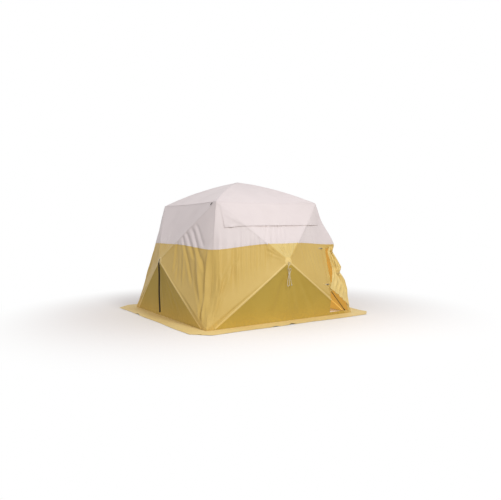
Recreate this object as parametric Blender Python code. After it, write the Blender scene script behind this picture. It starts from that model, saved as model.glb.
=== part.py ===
"""Square pop-up work tent on a hub frame.

Five hubs, one for the roof and one for each wall, are pushed outwards. Four fibreglass rods
run from each hub to the corners of its face and stretch the fabric. Metres, +Z up. The origin
is the middle of the base, on the ground. The front wall, with window flap and door, faces -Y.
"""
import math

import bmesh
import bpy
from mathutils import Matrix, Vector

# Shape of the tent
BASE_SIDE = 2.44
TOP_SIDE = 1.70
CORNER_HEIGHT = 1.634
ROOF_HEIGHT = 1.98
HUB_REACH = 1.318
HUB_HEIGHT = 0.82
COLOUR_LINE = 1.05
FOOT_INSET = 0.11
ROOF_BOW = 0.040
UPPER_BOW = 0.018
LOWER_BOW = 0.012

# Fabric
FABRIC = 0.0015
SEAM_GAP = 0.0006
SKIRT_WIDTH = 0.27
SKIRT_THICKNESS = 0.002
SKIRT_MITRE_GAP = 0.0008
FAN_RINGS = 5
SHARPEST_MITRE = 0.3

# Frame
ROD_DIAMETER = 0.011
ROD_STEPS = 7
HUB_RADIUS = 0.052
HUB_RIM = 0.018
HUB_SIDES = 24
PIVOT_RADIUS = 0.045
RUNNING_GAP = 0.0003
SEAT_GAP = 0.0005
FABRIC_GAP = 0.0008
DOME_EXTRA_SLOPE = 0.025
FITTING_RADIUS = 0.017
BOOT_RADIUS = 0.009
BOOT_LENGTH = 0.030
BOOT_FLOOR_GAP = 0.001

# Window and its flap
WINDOW_WIDTH = 0.90
WINDOW_HEIGHT = 0.20
WINDOW_DROP = 0.054
FLAP_WIDTH = 1.62
FLAP_DROP = 0.323
FLAP_STAND_OFF = 0.010
FLAP_STEPS = 5

# Door
DOOR_LEFT = 0.80
DOOR_TOP = 0.985
DOOR_SILL = 0.045
DOOR_SEAM_MARGIN = 0.045
DOOR_BUNCH = ((1.00, 0.086), (0.93, 0.052), (0.862, 0.030), (0.776, 0.042), (0.682, 0.072),
              (0.595, 0.024), (0.52, 0.046), (0.479, 0.056), (0.354, 0.053), (0.27, 0.030))
BUNCH_THICKEST = 0.026
BUNCH_THICKNESS_SHARE = 0.55
BUNCH_PROFILE = ((0, 0), (0.22, 0.6), (0.5, 1), (0.8, 0.75), (1, 0), (0.8, -0.75), (0.5, -1), (0.22, -0.6))
TOGGLE_RADIUS = 0.006
TOGGLE_LENGTH = 0.040
TOGGLE_DOOR_MARGIN = 0.008
TOGGLES = (("upper", 0.965, 0.0012), ("lower", 0.45, 0.0008))

# Rings, pull strap and rope hank at the hubs
RING_RADIUS = 0.016
RING_WIRE = 0.0025
RING_DROP = 0.020
STRAP_WIDTH = 0.025
STRAP_THICKNESS = 0.0022
STRAP_LENGTH = 0.70
HANK_WIDTH = 0.085
HANK_LENGTH = 0.30
HANK_THICKNESS = 0.016

# Where the wall hubs lie beside the roof hub when the tent is folded into a bundle
FOLDED_RADIUS = {"front": 0.13, "back": 0.13, "left": 0.13, "right": 0.13}
FOLDED_DROP = {"front": 0.05, "back": 0.05, "left": 0.42, "right": 0.42}
FOLD_TURN = math.radians(90)

WALL_TURNS = {"front": 0, "right": 90, "back": 180, "left": 270}
CORNERS = {"front_left": (-1, -1), "front_right": (1, -1), "back_right": (1, 1), "back_left": (-1, 1)}
SIDES = {"left": -1, "right": 1}

ROD_RADIUS = ROD_DIAMETER / 2
HALF_BASE = BASE_SIDE / 2
HALF_TOP = TOP_SIDE / 2
WALL_FOOT = SKIRT_THICKNESS + SEAT_GAP
X_AXIS, Y_AXIS, Z_AXIS = Vector((1, 0, 0)), Vector((0, 1, 0)), Vector((0, 0, 1))


def clear_scene():
    for obj in list(bpy.data.objects):
        bpy.data.objects.remove(obj, do_unlink=True)


def material(name, colour, roughness, metallic=0.0):
    mat = bpy.data.materials.new(name)
    mat.use_nodes = True
    shader = mat.node_tree.nodes["Principled BSDF"]
    shader.inputs["Base Color"].default_value = (*colour, 1)
    shader.inputs["Roughness"].default_value = roughness
    shader.inputs["Metallic"].default_value = metallic
    return mat


def add(name, data, mat, location=(0, 0, 0), parent=None):
    obj = bpy.data.objects.new(name, data)
    bpy.context.collection.objects.link(obj)
    obj.location = location
    data.materials.append(mat)
    if parent is not None:
        obj.parent = parent
        obj.matrix_parent_inverse = parent.matrix_world.inverted()
    return obj


def joint_empty(name, location):
    """A parent on a joint's axis."""
    empty = bpy.data.objects.new(name, None)
    empty.location = location
    bpy.context.collection.objects.link(empty)
    bpy.context.view_layer.update()
    return empty


def mesh_from(bm, name, turn=Matrix.Identity(4)):
    bmesh.ops.transform(bm, matrix=turn, verts=bm.verts)
    bmesh.ops.recalc_face_normals(bm, faces=bm.faces)
    mesh = bpy.data.meshes.new(name)
    bm.to_mesh(mesh)
    bm.free()
    return mesh


def modifier(obj, name, kind, **values):
    mod = obj.modifiers.new(name, kind)
    for key, value in values.items():
        setattr(mod, key, value)
    return mod


def cutter(name, mesh):
    obj = bpy.data.objects.new(name, mesh)
    bpy.context.collection.objects.link(obj)
    obj.hide_render = True
    obj.display_type = "WIRE"
    return obj


def box_mesh(name, low, high, turn=Matrix.Identity(4)):
    bm = bmesh.new()
    bmesh.ops.create_cube(bm, size=1)
    size = [b - a for a, b in zip(low, high)]
    middle = [(a + b) / 2 for a, b in zip(low, high)]
    bmesh.ops.scale(bm, vec=size, verts=bm.verts)
    bmesh.ops.translate(bm, vec=middle, verts=bm.verts)
    return mesh_from(bm, name, turn)


def prism_mesh(name, outline, low, high, along=Y_AXIS, turn=Matrix.Identity(4)):
    """A closed solid of an outline of points, moved from low to high along an axis."""
    bm = bmesh.new()
    verts = [bm.verts.new(Vector(p) + along * low) for p in outline]
    face = bm.faces.new(verts)
    made = bmesh.ops.extrude_face_region(bm, geom=[face])
    moved = [v for v in made["geom"] if isinstance(v, bmesh.types.BMVert)]
    bmesh.ops.translate(bm, vec=along * (high - low), verts=moved)
    return mesh_from(bm, name, turn)


def wall_turn(wall):
    """Turns what is modelled on the front wall to another wall."""
    return Matrix.Rotation(math.radians(WALL_TURNS[wall]), 4, "Z")


def bow_vector(apex, corner, outward, bow):
    """The sideways bow of a rod, in the plane of the rod and its hub's axis."""
    along = (corner - apex).normalized()
    return (outward - along * outward.dot(along)).normalized() * bow


# Fabric of the faces

def wall_rim():
    """Corners and rod feet round the front wall, with the bow of the rod that ends at each."""
    apex = Vector((0, -HUB_REACH, HUB_HEIGHT))
    foot = HALF_BASE - FOOT_INSET
    rim = []
    for side in (-1, 1):
        top = Vector((side * HALF_TOP, -HALF_TOP, CORNER_HEIGHT))
        base = Vector((side * HALF_BASE, -HALF_BASE, WALL_FOOT))
        rod_foot = Vector((side * foot, -HALF_BASE, WALL_FOOT))
        chain = [(top, UPPER_BOW), (base, 0), (rod_foot, LOWER_BOW)]
        rim += chain if side < 0 else chain[::-1]
    return apex, [(p, bow_vector(apex, p, -Y_AXIS, bow)) for p, bow in rim]


def roof_rim():
    apex = Vector((0, 0, ROOF_HEIGHT))
    rim = [Vector((x * HALF_TOP, y * HALF_TOP, CORNER_HEIGHT)) for x, y in CORNERS.values()]
    return apex, [(p, bow_vector(apex, p, Z_AXIS, ROOF_BOW)) for p in rim]


def fan_surface(apex, rim):
    """The face's fabric: a fan of facets from the apex to the rim, bowed along the rods."""
    bm = bmesh.new()
    for (a, bow_a), (b, bow_b) in zip(rim, rim[1:] + rim[:1]):
        rows = []
        for i in range(FAN_RINGS + 1):
            row = []
            for j in range(i + 1):
                out = i / FAN_RINGS
                share_b = j / FAN_RINGS
                share_a = out - share_b
                point = apex * (1 - out) + a * share_a + b * share_b
                point += 4 * (1 - out) * (share_a * bow_a + share_b * bow_b)
                row.append(bm.verts.new(point))
            rows.append(row)
        for upper, lower in zip(rows, rows[1:]):
            for j, vert in enumerate(upper):
                bm.faces.new((vert, lower[j], lower[j + 1]))
                if j + 1 < len(upper):
                    bm.faces.new((vert, lower[j + 1], upper[j + 1]))
    bmesh.ops.remove_doubles(bm, verts=bm.verts, dist=1e-5)
    bmesh.ops.recalc_face_normals(bm, faces=bm.faces)
    middle = sum((v.co for v in bm.verts), Vector()) / len(bm.verts)
    outward = sum((f.normal * f.calc_area() for f in bm.faces), Vector())
    if outward.dot(Vector((middle.x, middle.y, middle.z - HUB_HEIGHT))) < 0:
        bmesh.ops.reverse_faces(bm, faces=bm.faces)
    return bm


def cut_away(bm, point, normal):
    """Removes what lies past a plane, on the side that its normal points to."""
    geom = bm.verts[:] + bm.edges[:] + bm.faces[:]
    bmesh.ops.bisect_plane(bm, geom=geom, dist=1e-6, plane_co=point, plane_no=normal, clear_outer=True)


def draw_in_border(bm):
    """Moves the border in by half a seam gap, so that neighbouring panels stay apart."""
    moves = {}
    for vert in bm.verts:
        if not vert.is_boundary:
            continue
        edges = [e for e in vert.link_edges if e.is_boundary]
        inward = []
        for edge in edges:
            face = edge.link_faces[0]
            along = (edge.verts[1].co - edge.verts[0].co).normalized()
            across = face.normal.cross(along).normalized()
            if across.dot(face.calc_center_median() - edge.verts[0].co) < 0:
                across = -across
            inward.append(across)
        share = max(SHARPEST_MITRE, (1 + inward[0].dot(inward[-1])) / 2)
        moves[vert] = (inward[0] + inward[-1]) / 2 / share * SEAM_GAP / 2
    for vert, move in moves.items():
        vert.co += move


def fabric_panel(name, bm, mat, turn=Matrix.Identity(4)):
    """A sheet of fabric, thickened outwards from the surface."""
    draw_in_border(bm)
    bmesh.ops.transform(bm, matrix=turn, verts=bm.verts)
    mesh = bpy.data.meshes.new(name)
    bm.to_mesh(mesh)
    bm.free()
    obj = add(name, mesh, mat)
    modifier(obj, "thickness", "SOLIDIFY", thickness=FABRIC, offset=1, use_rim=True)
    return obj


def seam_x(height):
    """How far the wall's corner seam lies from the middle at a height."""
    return HALF_BASE + (HALF_TOP - HALF_BASE) * height / CORNER_HEIGHT


def door_cutter():
    right_low = seam_x(DOOR_SILL) - DOOR_SEAM_MARGIN
    right_high = seam_x(DOOR_TOP) - DOOR_SEAM_MARGIN
    outline = [(DOOR_LEFT, 0, DOOR_SILL), (right_low, 0, DOOR_SILL),
               (right_high, 0, DOOR_TOP), (DOOR_LEFT, 0, DOOR_TOP)]
    return cutter("doorway_cutter", prism_mesh("doorway_cutter", outline, -HUB_REACH, -HALF_TOP))


def window_box(name, gap=0.0):
    """The window's opening through the front wall, drawn in by a gap."""
    half = WINDOW_WIDTH / 2 - gap
    top = CORNER_HEIGHT - WINDOW_DROP
    low = (-half, -HUB_REACH, top - WINDOW_HEIGHT + gap)
    high = (half, -HALF_TOP / 2, top - gap)
    return cutter(name, box_mesh(name, low, high))


def make_window_mesh(mat):
    """The net in the window, cut from the same surface as the wall."""
    bm = fan_surface(*wall_rim())
    cut_away(bm, (0, 0, COLOUR_LINE), -Z_AXIS)
    net = fabric_panel("window_mesh", bm, mat)
    cut = window_box("window_mesh_outline", SEAM_GAP)
    modifier(net, "outline", "BOOLEAN", operation="INTERSECT", object=cut, solver="EXACT")


def make_wall_fabric(wall, mats):
    turn = wall_turn(wall)
    for level, keep, mat in (("upper", -Z_AXIS, mats["white"]), ("lower", Z_AXIS, mats["yellow"])):
        bm = fan_surface(*wall_rim())
        cut_away(bm, (0, 0, COLOUR_LINE), keep)
        panel = fabric_panel(f"{level}_wall_{wall}", bm, mat, turn)
        if wall == "front":
            cut = window_box("window_cutter") if level == "upper" else door_cutter()
            modifier(panel, "opening", "BOOLEAN", operation="DIFFERENCE", object=cut, solver="EXACT")


def make_skirt(wall, mat):
    """The flap of fabric that lies on the ground outside a wall, mitred at the corners."""
    inner = HALF_BASE + SEAM_GAP
    outer = HALF_BASE + SKIRT_WIDTH
    gap = SKIRT_MITRE_GAP
    outline = [(-inner + gap, -inner, 0), (inner - gap, -inner, 0),
               (outer - gap, -outer, 0), (-outer + gap, -outer, 0)]
    mesh = prism_mesh(f"ground_skirt_{wall}", outline, 0, SKIRT_THICKNESS, Z_AXIS, wall_turn(wall))
    add(f"ground_skirt_{wall}", mesh, mat)


# Frame of hubs and rods

def hub_inset(slope):
    """Depth of a hub's pivots below the fabric's apex."""
    return FABRIC_GAP + slope * HUB_RADIUS + HUB_RIM / 2


def wall_hub():
    """Apex, outward axis and dome slope of the front wall's hub."""
    slope = (HUB_REACH - HALF_TOP) / (CORNER_HEIGHT - HUB_HEIGHT) + DOME_EXTRA_SLOPE
    return Vector((0, -HUB_REACH, HUB_HEIGHT)), -Y_AXIS, slope


def roof_hub():
    slope = (ROOF_HEIGHT - CORNER_HEIGHT) / HALF_TOP + DOME_EXTRA_SLOPE
    return Vector((0, 0, ROOF_HEIGHT)), Z_AXIS, slope


def pivot_plane(apex, outward, slope):
    return apex - outward * hub_inset(slope)


def rod_ends(hub, target, stop):
    """A rod's pivot on its hub and its far end, stop short of the target."""
    middle = pivot_plane(*hub)
    outward = hub[1]
    radial = target - middle
    radial = (radial - outward * radial.dot(outward)).normalized()
    pivot = middle + radial * PIVOT_RADIUS
    end = target - (target - pivot).normalized() * stop
    return pivot, end, radial


def fitting_centre(x_sign, y_sign):
    """Middle of a top corner fitting, just under the roof and inside both walls."""
    drop = ROOF_HEIGHT - CORNER_HEIGHT
    across = math.hypot(drop, HALF_TOP)
    depth = (FITTING_RADIUS + FABRIC_GAP) * across / (drop + HALF_TOP)
    corner = Vector((x_sign * HALF_TOP, y_sign * HALF_TOP, CORNER_HEIGHT))
    return corner + Vector((-x_sign, -y_sign, -1)) * depth


def boot_end(side):
    """The lowest middle point of a lower rod's rubber boot, on the front wall."""
    wall_gap = BOOT_RADIUS + 2 * FABRIC_GAP + FABRIC
    x = side * (HALF_BASE - FOOT_INSET)
    return Vector((x, -HALF_BASE + wall_gap, BOOT_RADIUS + BOOT_FLOOR_GAP))


def wall_rods():
    """Level, side, pivot, end, radial direction, bow and target of the front wall's four rods."""
    hub = wall_hub()
    rods = []
    for side_name, side in SIDES.items():
        top = fitting_centre(side, -1)
        rods.append(("upper", side_name, *rod_ends(hub, top, FITTING_RADIUS + SEAT_GAP), UPPER_BOW, top))
        foot = boot_end(side)
        rods.append(("lower", side_name, *rod_ends(hub, foot, BOOT_LENGTH + SEAT_GAP), LOWER_BOW, foot))
    return rods


def rod_curve(name, pivot, end, outward, bow):
    """A rod as a tube, with its origin on its hinge."""
    curve = bpy.data.curves.new(name, "CURVE")
    curve.dimensions = "3D"
    curve.bevel_depth = ROD_RADIUS
    curve.bevel_resolution = 2
    curve.use_fill_caps = True
    spline = curve.splines.new("POLY")
    spline.points.add(ROD_STEPS - 1)
    sideways = bow_vector(pivot, end, outward, bow)
    for i, point in enumerate(spline.points):
        share = i / (ROD_STEPS - 1)
        place = (end - pivot) * share + sideways * 4 * share * (1 - share)
        point.co = (*place, 1)
    return curve


def hub_mesh(name, slope, outward):
    """A domed disc with a slot for each rod. Its own axis is +Z, through the pivots' middle."""
    inset = hub_inset(slope)
    rise = inset - FABRIC_GAP
    rim = HUB_RIM / 2
    bm = bmesh.new()
    profile = [(0, rise), (HUB_RADIUS, rim), (HUB_RADIUS, -rim), (0, -rim)]
    verts = [bm.verts.new((r, 0, z)) for r, z in profile]
    edges = [bm.edges.new(pair) for pair in zip(verts, verts[1:])]
    bmesh.ops.spin(bm, geom=verts + edges, axis=(0, 0, 1), cent=(0, 0, 0), steps=HUB_SIDES,
                   angle=math.tau, use_merge=True)
    bmesh.ops.remove_doubles(bm, verts=bm.verts, dist=1e-5)
    return mesh_from(bm, name, Z_AXIS.rotation_difference(outward).to_matrix().to_4x4())


def slot_cutter(name, middle, radial, outward):
    """The slot in a hub in which a rod swings."""
    half = ROD_RADIUS + RUNNING_GAP
    floor = PIVOT_RADIUS - ROD_RADIUS - 2 * RUNNING_GAP
    tangent = outward.cross(radial)
    frame = Matrix((radial, tangent, outward)).transposed().to_4x4()
    frame.translation = middle
    low = (floor, -half, -HUB_RADIUS)
    high = (HUB_RADIUS + ROD_DIAMETER, half, HUB_RADIUS)
    return cutter(name, box_mesh(name, low, high, frame))


def make_hub(name, hub, radials, mat, turn=Matrix.Identity(4), parent=None):
    apex, outward, slope = hub
    middle = turn @ pivot_plane(*hub)
    outward = turn.to_3x3() @ outward
    obj = add(name, hub_mesh(name, slope, outward), mat, middle, parent)
    for i, radial in enumerate(radials):
        cut = slot_cutter(f"{name}_slot_{i}", middle, turn.to_3x3() @ radial, outward)
        modifier(obj, f"slot_{i}", "BOOLEAN", operation="DIFFERENCE", object=cut, solver="EXACT")
    return obj


def fold_pole(wall):
    """Centre of the quarter turn that brings the front wall's hub beside the roof hub."""
    start = pivot_plane(*wall_hub())
    roof = pivot_plane(*roof_hub())
    finish = Vector((0, -FOLDED_RADIUS[wall], roof.z - FOLDED_DROP[wall]))
    along = finish - start
    sideways = Vector((0, -along.z, along.y))
    return (start + finish) / 2 + sideways / (2 * math.tan(FOLD_TURN / 2))


def make_wall_frame(wall, mats):
    turn = wall_turn(wall)
    hub = wall_hub()
    rods = wall_rods()
    swing = joint_empty(f"{wall}_hub_swing", turn @ fold_pole(wall))
    hub_obj = make_hub(f"{wall}_hub", hub, [r[4] for r in rods], mats["hub"], turn, swing)
    spin = turn.to_3x3()
    for level, side, pivot, end, radial, bow, target in rods:
        name = f"{wall}_{level}_{side}_rod"
        outward = spin @ hub[1]
        curve = rod_curve(name, spin @ pivot, spin @ end, outward, bow)
        rod = add(name, curve, mats["rod"], spin @ pivot, swing)
        if level == "lower":
            make_boot(f"{wall}_{side}_rod_boot", spin @ pivot, spin @ target, mats["rubber"], rod)
    return hub_obj


def make_boot(name, pivot, end, mat, rod):
    """The rubber boot on a lower rod's foot."""
    along = (end - pivot).normalized()
    bm = bmesh.new()
    bmesh.ops.create_cone(bm, cap_ends=True, segments=12, radius1=BOOT_RADIUS,
                          radius2=BOOT_RADIUS, depth=BOOT_LENGTH)
    turn = Z_AXIS.rotation_difference(along).to_matrix().to_4x4()
    bpy.context.view_layer.update()
    add(name, mesh_from(bm, name, turn), mat, end - along * BOOT_LENGTH / 2, rod)


def make_roof_frame(mats):
    hub = roof_hub()
    radials = []
    for corner, (x, y) in CORNERS.items():
        target = fitting_centre(x, y)
        pivot, end, radial = rod_ends(hub, target, FITTING_RADIUS + SEAT_GAP)
        radials.append(radial)
        name = f"roof_rod_{corner}"
        rod = add(name, rod_curve(name, pivot, end, Z_AXIS, ROOF_BOW), mats["rod"], pivot)
        bpy.context.view_layer.update()
        bm = bmesh.new()
        bmesh.ops.create_icosphere(bm, subdivisions=2, radius=FITTING_RADIUS)
        fitting = f"top_fitting_{corner}"
        add(fitting, mesh_from(bm, fitting), mats["rubber"], target, rod)
    make_hub("roof_hub", hub, radials, mats["hub"])


# Window flap and door

def flap_profile():
    """Inner side of the window flap, from the roof's edge down, following the wall's bowed top facet."""
    apex, rim = wall_rim()
    top, bow = rim[0]
    down = Vector((0, apex.y - top.y, apex.z - top.z))
    outward = Vector((0, down.z, -down.y)).normalized()
    reach = FLAP_DROP / (CORNER_HEIGHT - HUB_HEIGHT)
    points = [Vector((0, top.y - FABRIC - SEAM_GAP, CORNER_HEIGHT + 2 * SEAM_GAP))]
    for i in range(1, FLAP_STEPS):
        share = i / (FLAP_STEPS - 1)
        way = reach * share
        bulge = Vector((0, bow.y, bow.z)) * 4 * way * (1 - way)
        stand_off = FABRIC + SEAM_GAP + FLAP_STAND_OFF * share
        points.append(Vector((0, top.y, top.z)) + down * way + bulge + outward * stand_off)
    return points, outward


def make_window_flap(mat):
    """The cover that hangs from the roof's front edge over the window."""
    inner, outward = flap_profile()
    pivot = inner[0]
    outline = [p - pivot for p in inner] + [p + outward * FABRIC - pivot for p in inner[::-1]]
    half = FLAP_WIDTH / 2
    add("window_flap", prism_mesh("window_flap", outline, -half, half, X_AXIS), mat, pivot)


def seam_point(height, out=0.0):
    """A point outside the front right corner seam, out along the corner's diagonal."""
    x = seam_x(height) + out / math.sqrt(2)
    return Vector((x, -x, height))


def bunch_section(height, width):
    """A leaf-shaped section of the gathered door, its sharp root towards the seam."""
    thick = min(BUNCH_THICKEST, width * BUNCH_THICKNESS_SHARE) / 2
    root = FABRIC + SEAM_GAP
    diagonal = Vector((1, -1, 0)).normalized()
    across = Vector((1, 1, 0)).normalized()
    base = seam_point(height, root)
    return [base + diagonal * (width * u) + across * (thick * v) for u, v in BUNCH_PROFILE]


def make_door_flap(mat):
    """The opened door, gathered and tied back along the corner seam."""
    bm = bmesh.new()
    pivot = seam_point(DOOR_BUNCH[0][0])
    rings = []
    for height, width in DOOR_BUNCH:
        ring = [bm.verts.new(p - pivot) for p in bunch_section(height, width)]
        rings.append(ring)
    for ring, below in zip(rings, rings[1:]):
        for i in range(len(ring)):
            j = (i + 1) % len(ring)
            bm.faces.new((ring[i], ring[j], below[j], below[i]))
    bm.faces.new(rings[0])
    bm.faces.new(rings[-1])
    add("door_flap", mesh_from(bm, "door_flap"), mat, pivot)


def wall_surface_y(x, z):
    """Inner face of the front wall's right facet, between the upper rod, the seam and the foot."""
    apex, rim = wall_rim()
    (base, _), (top, bow) = rim[-2:]
    flat = Matrix(((top.x - apex.x, base.x - apex.x), (top.z - apex.z, base.z - apex.z)))
    share_top, share_base = flat.inverted() @ Vector((x - apex.x, z - apex.z))
    share_apex = 1 - share_top - share_base
    straight = apex.y * share_apex + top.y * share_top + base.y * share_base
    return straight + 4 * share_apex * share_top * bow.y


def make_toggles(mat):
    """Barrel toggles on the wall beside the doorway, for the closed door's loops."""
    right = DOOR_LEFT - TOGGLE_DOOR_MARGIN
    for level, height, seat in TOGGLES:
        ends = [Vector((x, wall_surface_y(x, height), height)) for x in (right - TOGGLE_LENGTH, right)]
        along = (ends[1] - ends[0]).normalized()
        rise = Vector((right, wall_surface_y(right, height + TOGGLE_LENGTH), height + TOGGLE_LENGTH))
        off = along.cross(rise - ends[1]).normalized() * (FABRIC + TOGGLE_RADIUS + seat)
        name = f"door_toggle_{level}"
        bm = bmesh.new()
        bmesh.ops.create_cone(bm, cap_ends=True, segments=12, radius1=TOGGLE_RADIUS,
                              radius2=TOGGLE_RADIUS, depth=TOGGLE_LENGTH)
        turn = Z_AXIS.rotation_difference(along).to_matrix().to_4x4()
        add(name, mesh_from(bm, name, turn), mat, (ends[0] + ends[1]) / 2 + off)


# Rings, strap and rope at the hubs

def lower_slope():
    """How far the bowed lower wall leans outwards for each metre down, where it leaves the hub."""
    return (HALF_BASE - HUB_REACH + 4 * LOWER_BOW) / HUB_HEIGHT


def ring_centre():
    """Middle of the ring that hangs flat on the fabric under the front hub's apex."""
    furthest = max(lower_slope() * drop for drop in (RING_DROP - RING_RADIUS, RING_DROP + RING_RADIUS))
    y = -HUB_REACH - furthest - FABRIC - RING_WIRE - SEAT_GAP
    return Vector((0, y, HUB_HEIGHT - RING_DROP))


def make_ring(wall, mat, hub_obj):
    name = f"{wall}_ring"
    bm = bmesh.new()
    ring = bmesh.ops.create_circle(bm, segments=6, radius=RING_WIRE)["verts"]
    bmesh.ops.translate(bm, vec=(RING_RADIUS, 0, 0), verts=ring)
    edges = list({e for v in ring for e in v.link_edges})
    bmesh.ops.rotate(bm, verts=ring, cent=(RING_RADIUS, 0, 0),
                     matrix=Matrix.Rotation(math.pi / 2, 3, "Z"))
    bmesh.ops.spin(bm, geom=ring + edges, axis=(0, 1, 0), cent=(0, 0, 0), steps=16,
                   angle=math.tau, use_merge=True)
    turn = wall_turn(wall)
    bmesh.ops.remove_doubles(bm, verts=bm.verts, dist=1e-6)
    return add(name, mesh_from(bm, name, turn), mat, turn @ ring_centre(), hub_obj)


def hang_point():
    """Where what hangs from the ring turns: the middle of the ring's wire at its lowest point."""
    return ring_centre() - Z_AXIS * RING_RADIUS


def hang_turn():
    """What hangs from a ring is plumb, or lies along a wall that leans outwards below it."""
    return Matrix.Rotation(-math.atan(max(0, lower_slope())), 4, "X")


def make_pull_strap(mat, hub_obj):
    turn = wall_turn("left")
    half = STRAP_WIDTH / 2
    thick = STRAP_THICKNESS / 2
    top = -RING_WIRE - SEAT_GAP
    low = (-half, -thick, top - STRAP_LENGTH)
    high = (half, thick, top)
    mesh = box_mesh("pull_strap", low, high, turn @ hang_turn())
    add("pull_strap", mesh, mat, turn @ hang_point(), hub_obj)


def make_rope_hank(mat, hub_obj):
    """The outer shape of a hank of guy rope."""
    half = HANK_WIDTH / 2
    top = -RING_WIRE - SEAT_GAP
    outline = []
    for middle_z, start in ((top - half, 0), (top - HANK_LENGTH + half, math.pi)):
        for i in range(9):
            angle = start + math.pi * i / 8
            outline.append((half * math.cos(angle), 0, middle_z + half * math.sin(angle)))
    high = RING_WIRE
    mesh = prism_mesh("rope_hank", outline, high - HANK_THICKNESS, high, Y_AXIS, hang_turn())
    add("rope_hank", mesh, mat, hang_point(), hub_obj)


def build():
    clear_scene()
    mats = {
        "white": material("white_fabric", (0.80, 0.76, 0.77), 0.75),
        "yellow": material("yellow_fabric", (0.72, 0.48, 0.16), 0.75),
        "skirt": material("skirt_fabric", (0.78, 0.58, 0.24), 0.8),
        "net": material("window_net", (0.30, 0.30, 0.32), 0.9),
        "rod": material("fibreglass", (0.12, 0.12, 0.13), 0.45),
        "hub": material("black_plastic", (0.03, 0.03, 0.03), 0.5),
        "rubber": material("black_rubber", (0.02, 0.02, 0.02), 0.8),
        "metal": material("bright_steel", (0.62, 0.62, 0.62), 0.35, 1.0),
        "strap": material("black_webbing", (0.02, 0.02, 0.02), 0.85),
        "rope": material("white_rope", (0.82, 0.80, 0.76), 0.85),
    }
    fabric_panel("roof_canopy", fan_surface(*roof_rim()), mats["white"])
    make_window_mesh(mats["net"])
    make_window_flap(mats["white"])
    make_door_flap(mats["yellow"])
    make_toggles(mats["hub"])
    make_roof_frame(mats)
    hubs = {}
    for wall in WALL_TURNS:
        make_wall_fabric(wall, mats)
        make_skirt(wall, mats["skirt"])
        hubs[wall] = make_wall_frame(wall, mats)
    bpy.context.view_layer.update()
    make_ring("front", mats["metal"], hubs["front"])
    make_ring("left", mats["metal"], hubs["left"])
    make_rope_hank(mats["rope"], hubs["front"])
    make_pull_strap(mats["strap"], hubs["left"])


build()
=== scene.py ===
"""Finish of the square pop-up work tent: fabric, trims, cord and small fittings round its frame.

Metres, +Z up. The front wall, with the window flap and the door, faces -Y. What belongs to a wall
is modelled as on the front wall, seen from outside, and turned about +Z.
"""
import math

import bmesh
import bpy
import numpy as np
from mathutils import Matrix, Vector


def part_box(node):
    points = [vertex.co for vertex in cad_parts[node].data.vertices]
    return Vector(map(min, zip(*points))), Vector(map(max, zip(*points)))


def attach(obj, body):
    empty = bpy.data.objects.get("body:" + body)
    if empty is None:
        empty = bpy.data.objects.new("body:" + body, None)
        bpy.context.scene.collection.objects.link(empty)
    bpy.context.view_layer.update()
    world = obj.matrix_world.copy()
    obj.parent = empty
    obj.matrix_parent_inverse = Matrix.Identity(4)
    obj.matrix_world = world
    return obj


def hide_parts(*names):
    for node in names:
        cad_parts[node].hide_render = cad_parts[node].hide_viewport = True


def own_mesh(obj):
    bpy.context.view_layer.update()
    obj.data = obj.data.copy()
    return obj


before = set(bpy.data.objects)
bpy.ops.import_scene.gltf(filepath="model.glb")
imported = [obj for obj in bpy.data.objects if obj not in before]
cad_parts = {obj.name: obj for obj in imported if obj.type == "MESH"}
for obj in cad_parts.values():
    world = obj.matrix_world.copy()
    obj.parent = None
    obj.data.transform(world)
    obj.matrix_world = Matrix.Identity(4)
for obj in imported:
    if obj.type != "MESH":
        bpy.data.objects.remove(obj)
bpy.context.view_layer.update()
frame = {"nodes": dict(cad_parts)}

# Shape of the tent, as its frame has it
HALF_BASE = 1.22
HALF_TOP = 0.85
CORNER_HEIGHT = 1.634
ROOF_HEIGHT = 1.98
HUB_REACH = 1.318
HUB_HEIGHT = 0.82
COLOUR_LINE = 1.05
FOOT_INSET = 0.11
WALL_FOOT = 0.0025
ROOF_BOW = 0.040
UPPER_BOW = 0.018
LOWER_BOW = 0.012
SKIRT_WIDTH = 0.27
FOOT = HALF_BASE - FOOT_INSET

WALL_TURNS = {"front": 0, "right": 90, "back": 180, "left": 270}
SIDES = {"left": -1, "right": 1}
CORNERS = {"front_left": (-1, -1), "front_right": (1, -1), "back_right": (1, 1), "back_left": (-1, 1)}
X_AXIS, Y_AXIS, Z_AXIS = Vector((1, 0, 0)), Vector((0, 1, 0)), Vector((0, 0, 1))

# Thickness of the cloth and spacing of its mesh
CLOTH = 0.0007
GRID = 0.012

SHADING_WEIGHT = 80
SAME_POINT, SAME_CUT = 1e-6, 1e-5
STEEP = 0.9


def wall_turn(wall):
    return Matrix.Rotation(math.radians(WALL_TURNS[wall]), 4, "Z")


# Building of meshes

def object_from(bm, name, *materials):
    mesh = bpy.data.meshes.new(name)
    bm.normal_update()
    bm.to_mesh(mesh)
    bm.free()
    mesh.shade_smooth()
    for mat in materials:
        mesh.materials.append(mat)
    obj = bpy.data.objects.new(name, mesh)
    bpy.context.scene.collection.objects.link(obj)
    return obj


def coordinates(mesh):
    flat = np.empty(len(mesh.vertices) * 3)
    mesh.vertices.foreach_get("co", flat)
    return flat.reshape(-1, 3)


def thicken(obj, thickness, offset=1):
    """Gives a sheet its thickness. Its other side has the second material, if there is one."""
    mod = obj.modifiers.new("thickness", "SOLIDIFY")
    mod.thickness = thickness
    mod.offset = offset
    mod.material_offset = 1 if len(obj.data.materials) > 1 else 0
    shading = obj.modifiers.new("shading", "WEIGHTED_NORMAL")
    shading.weight = SHADING_WEIGHT


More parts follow.
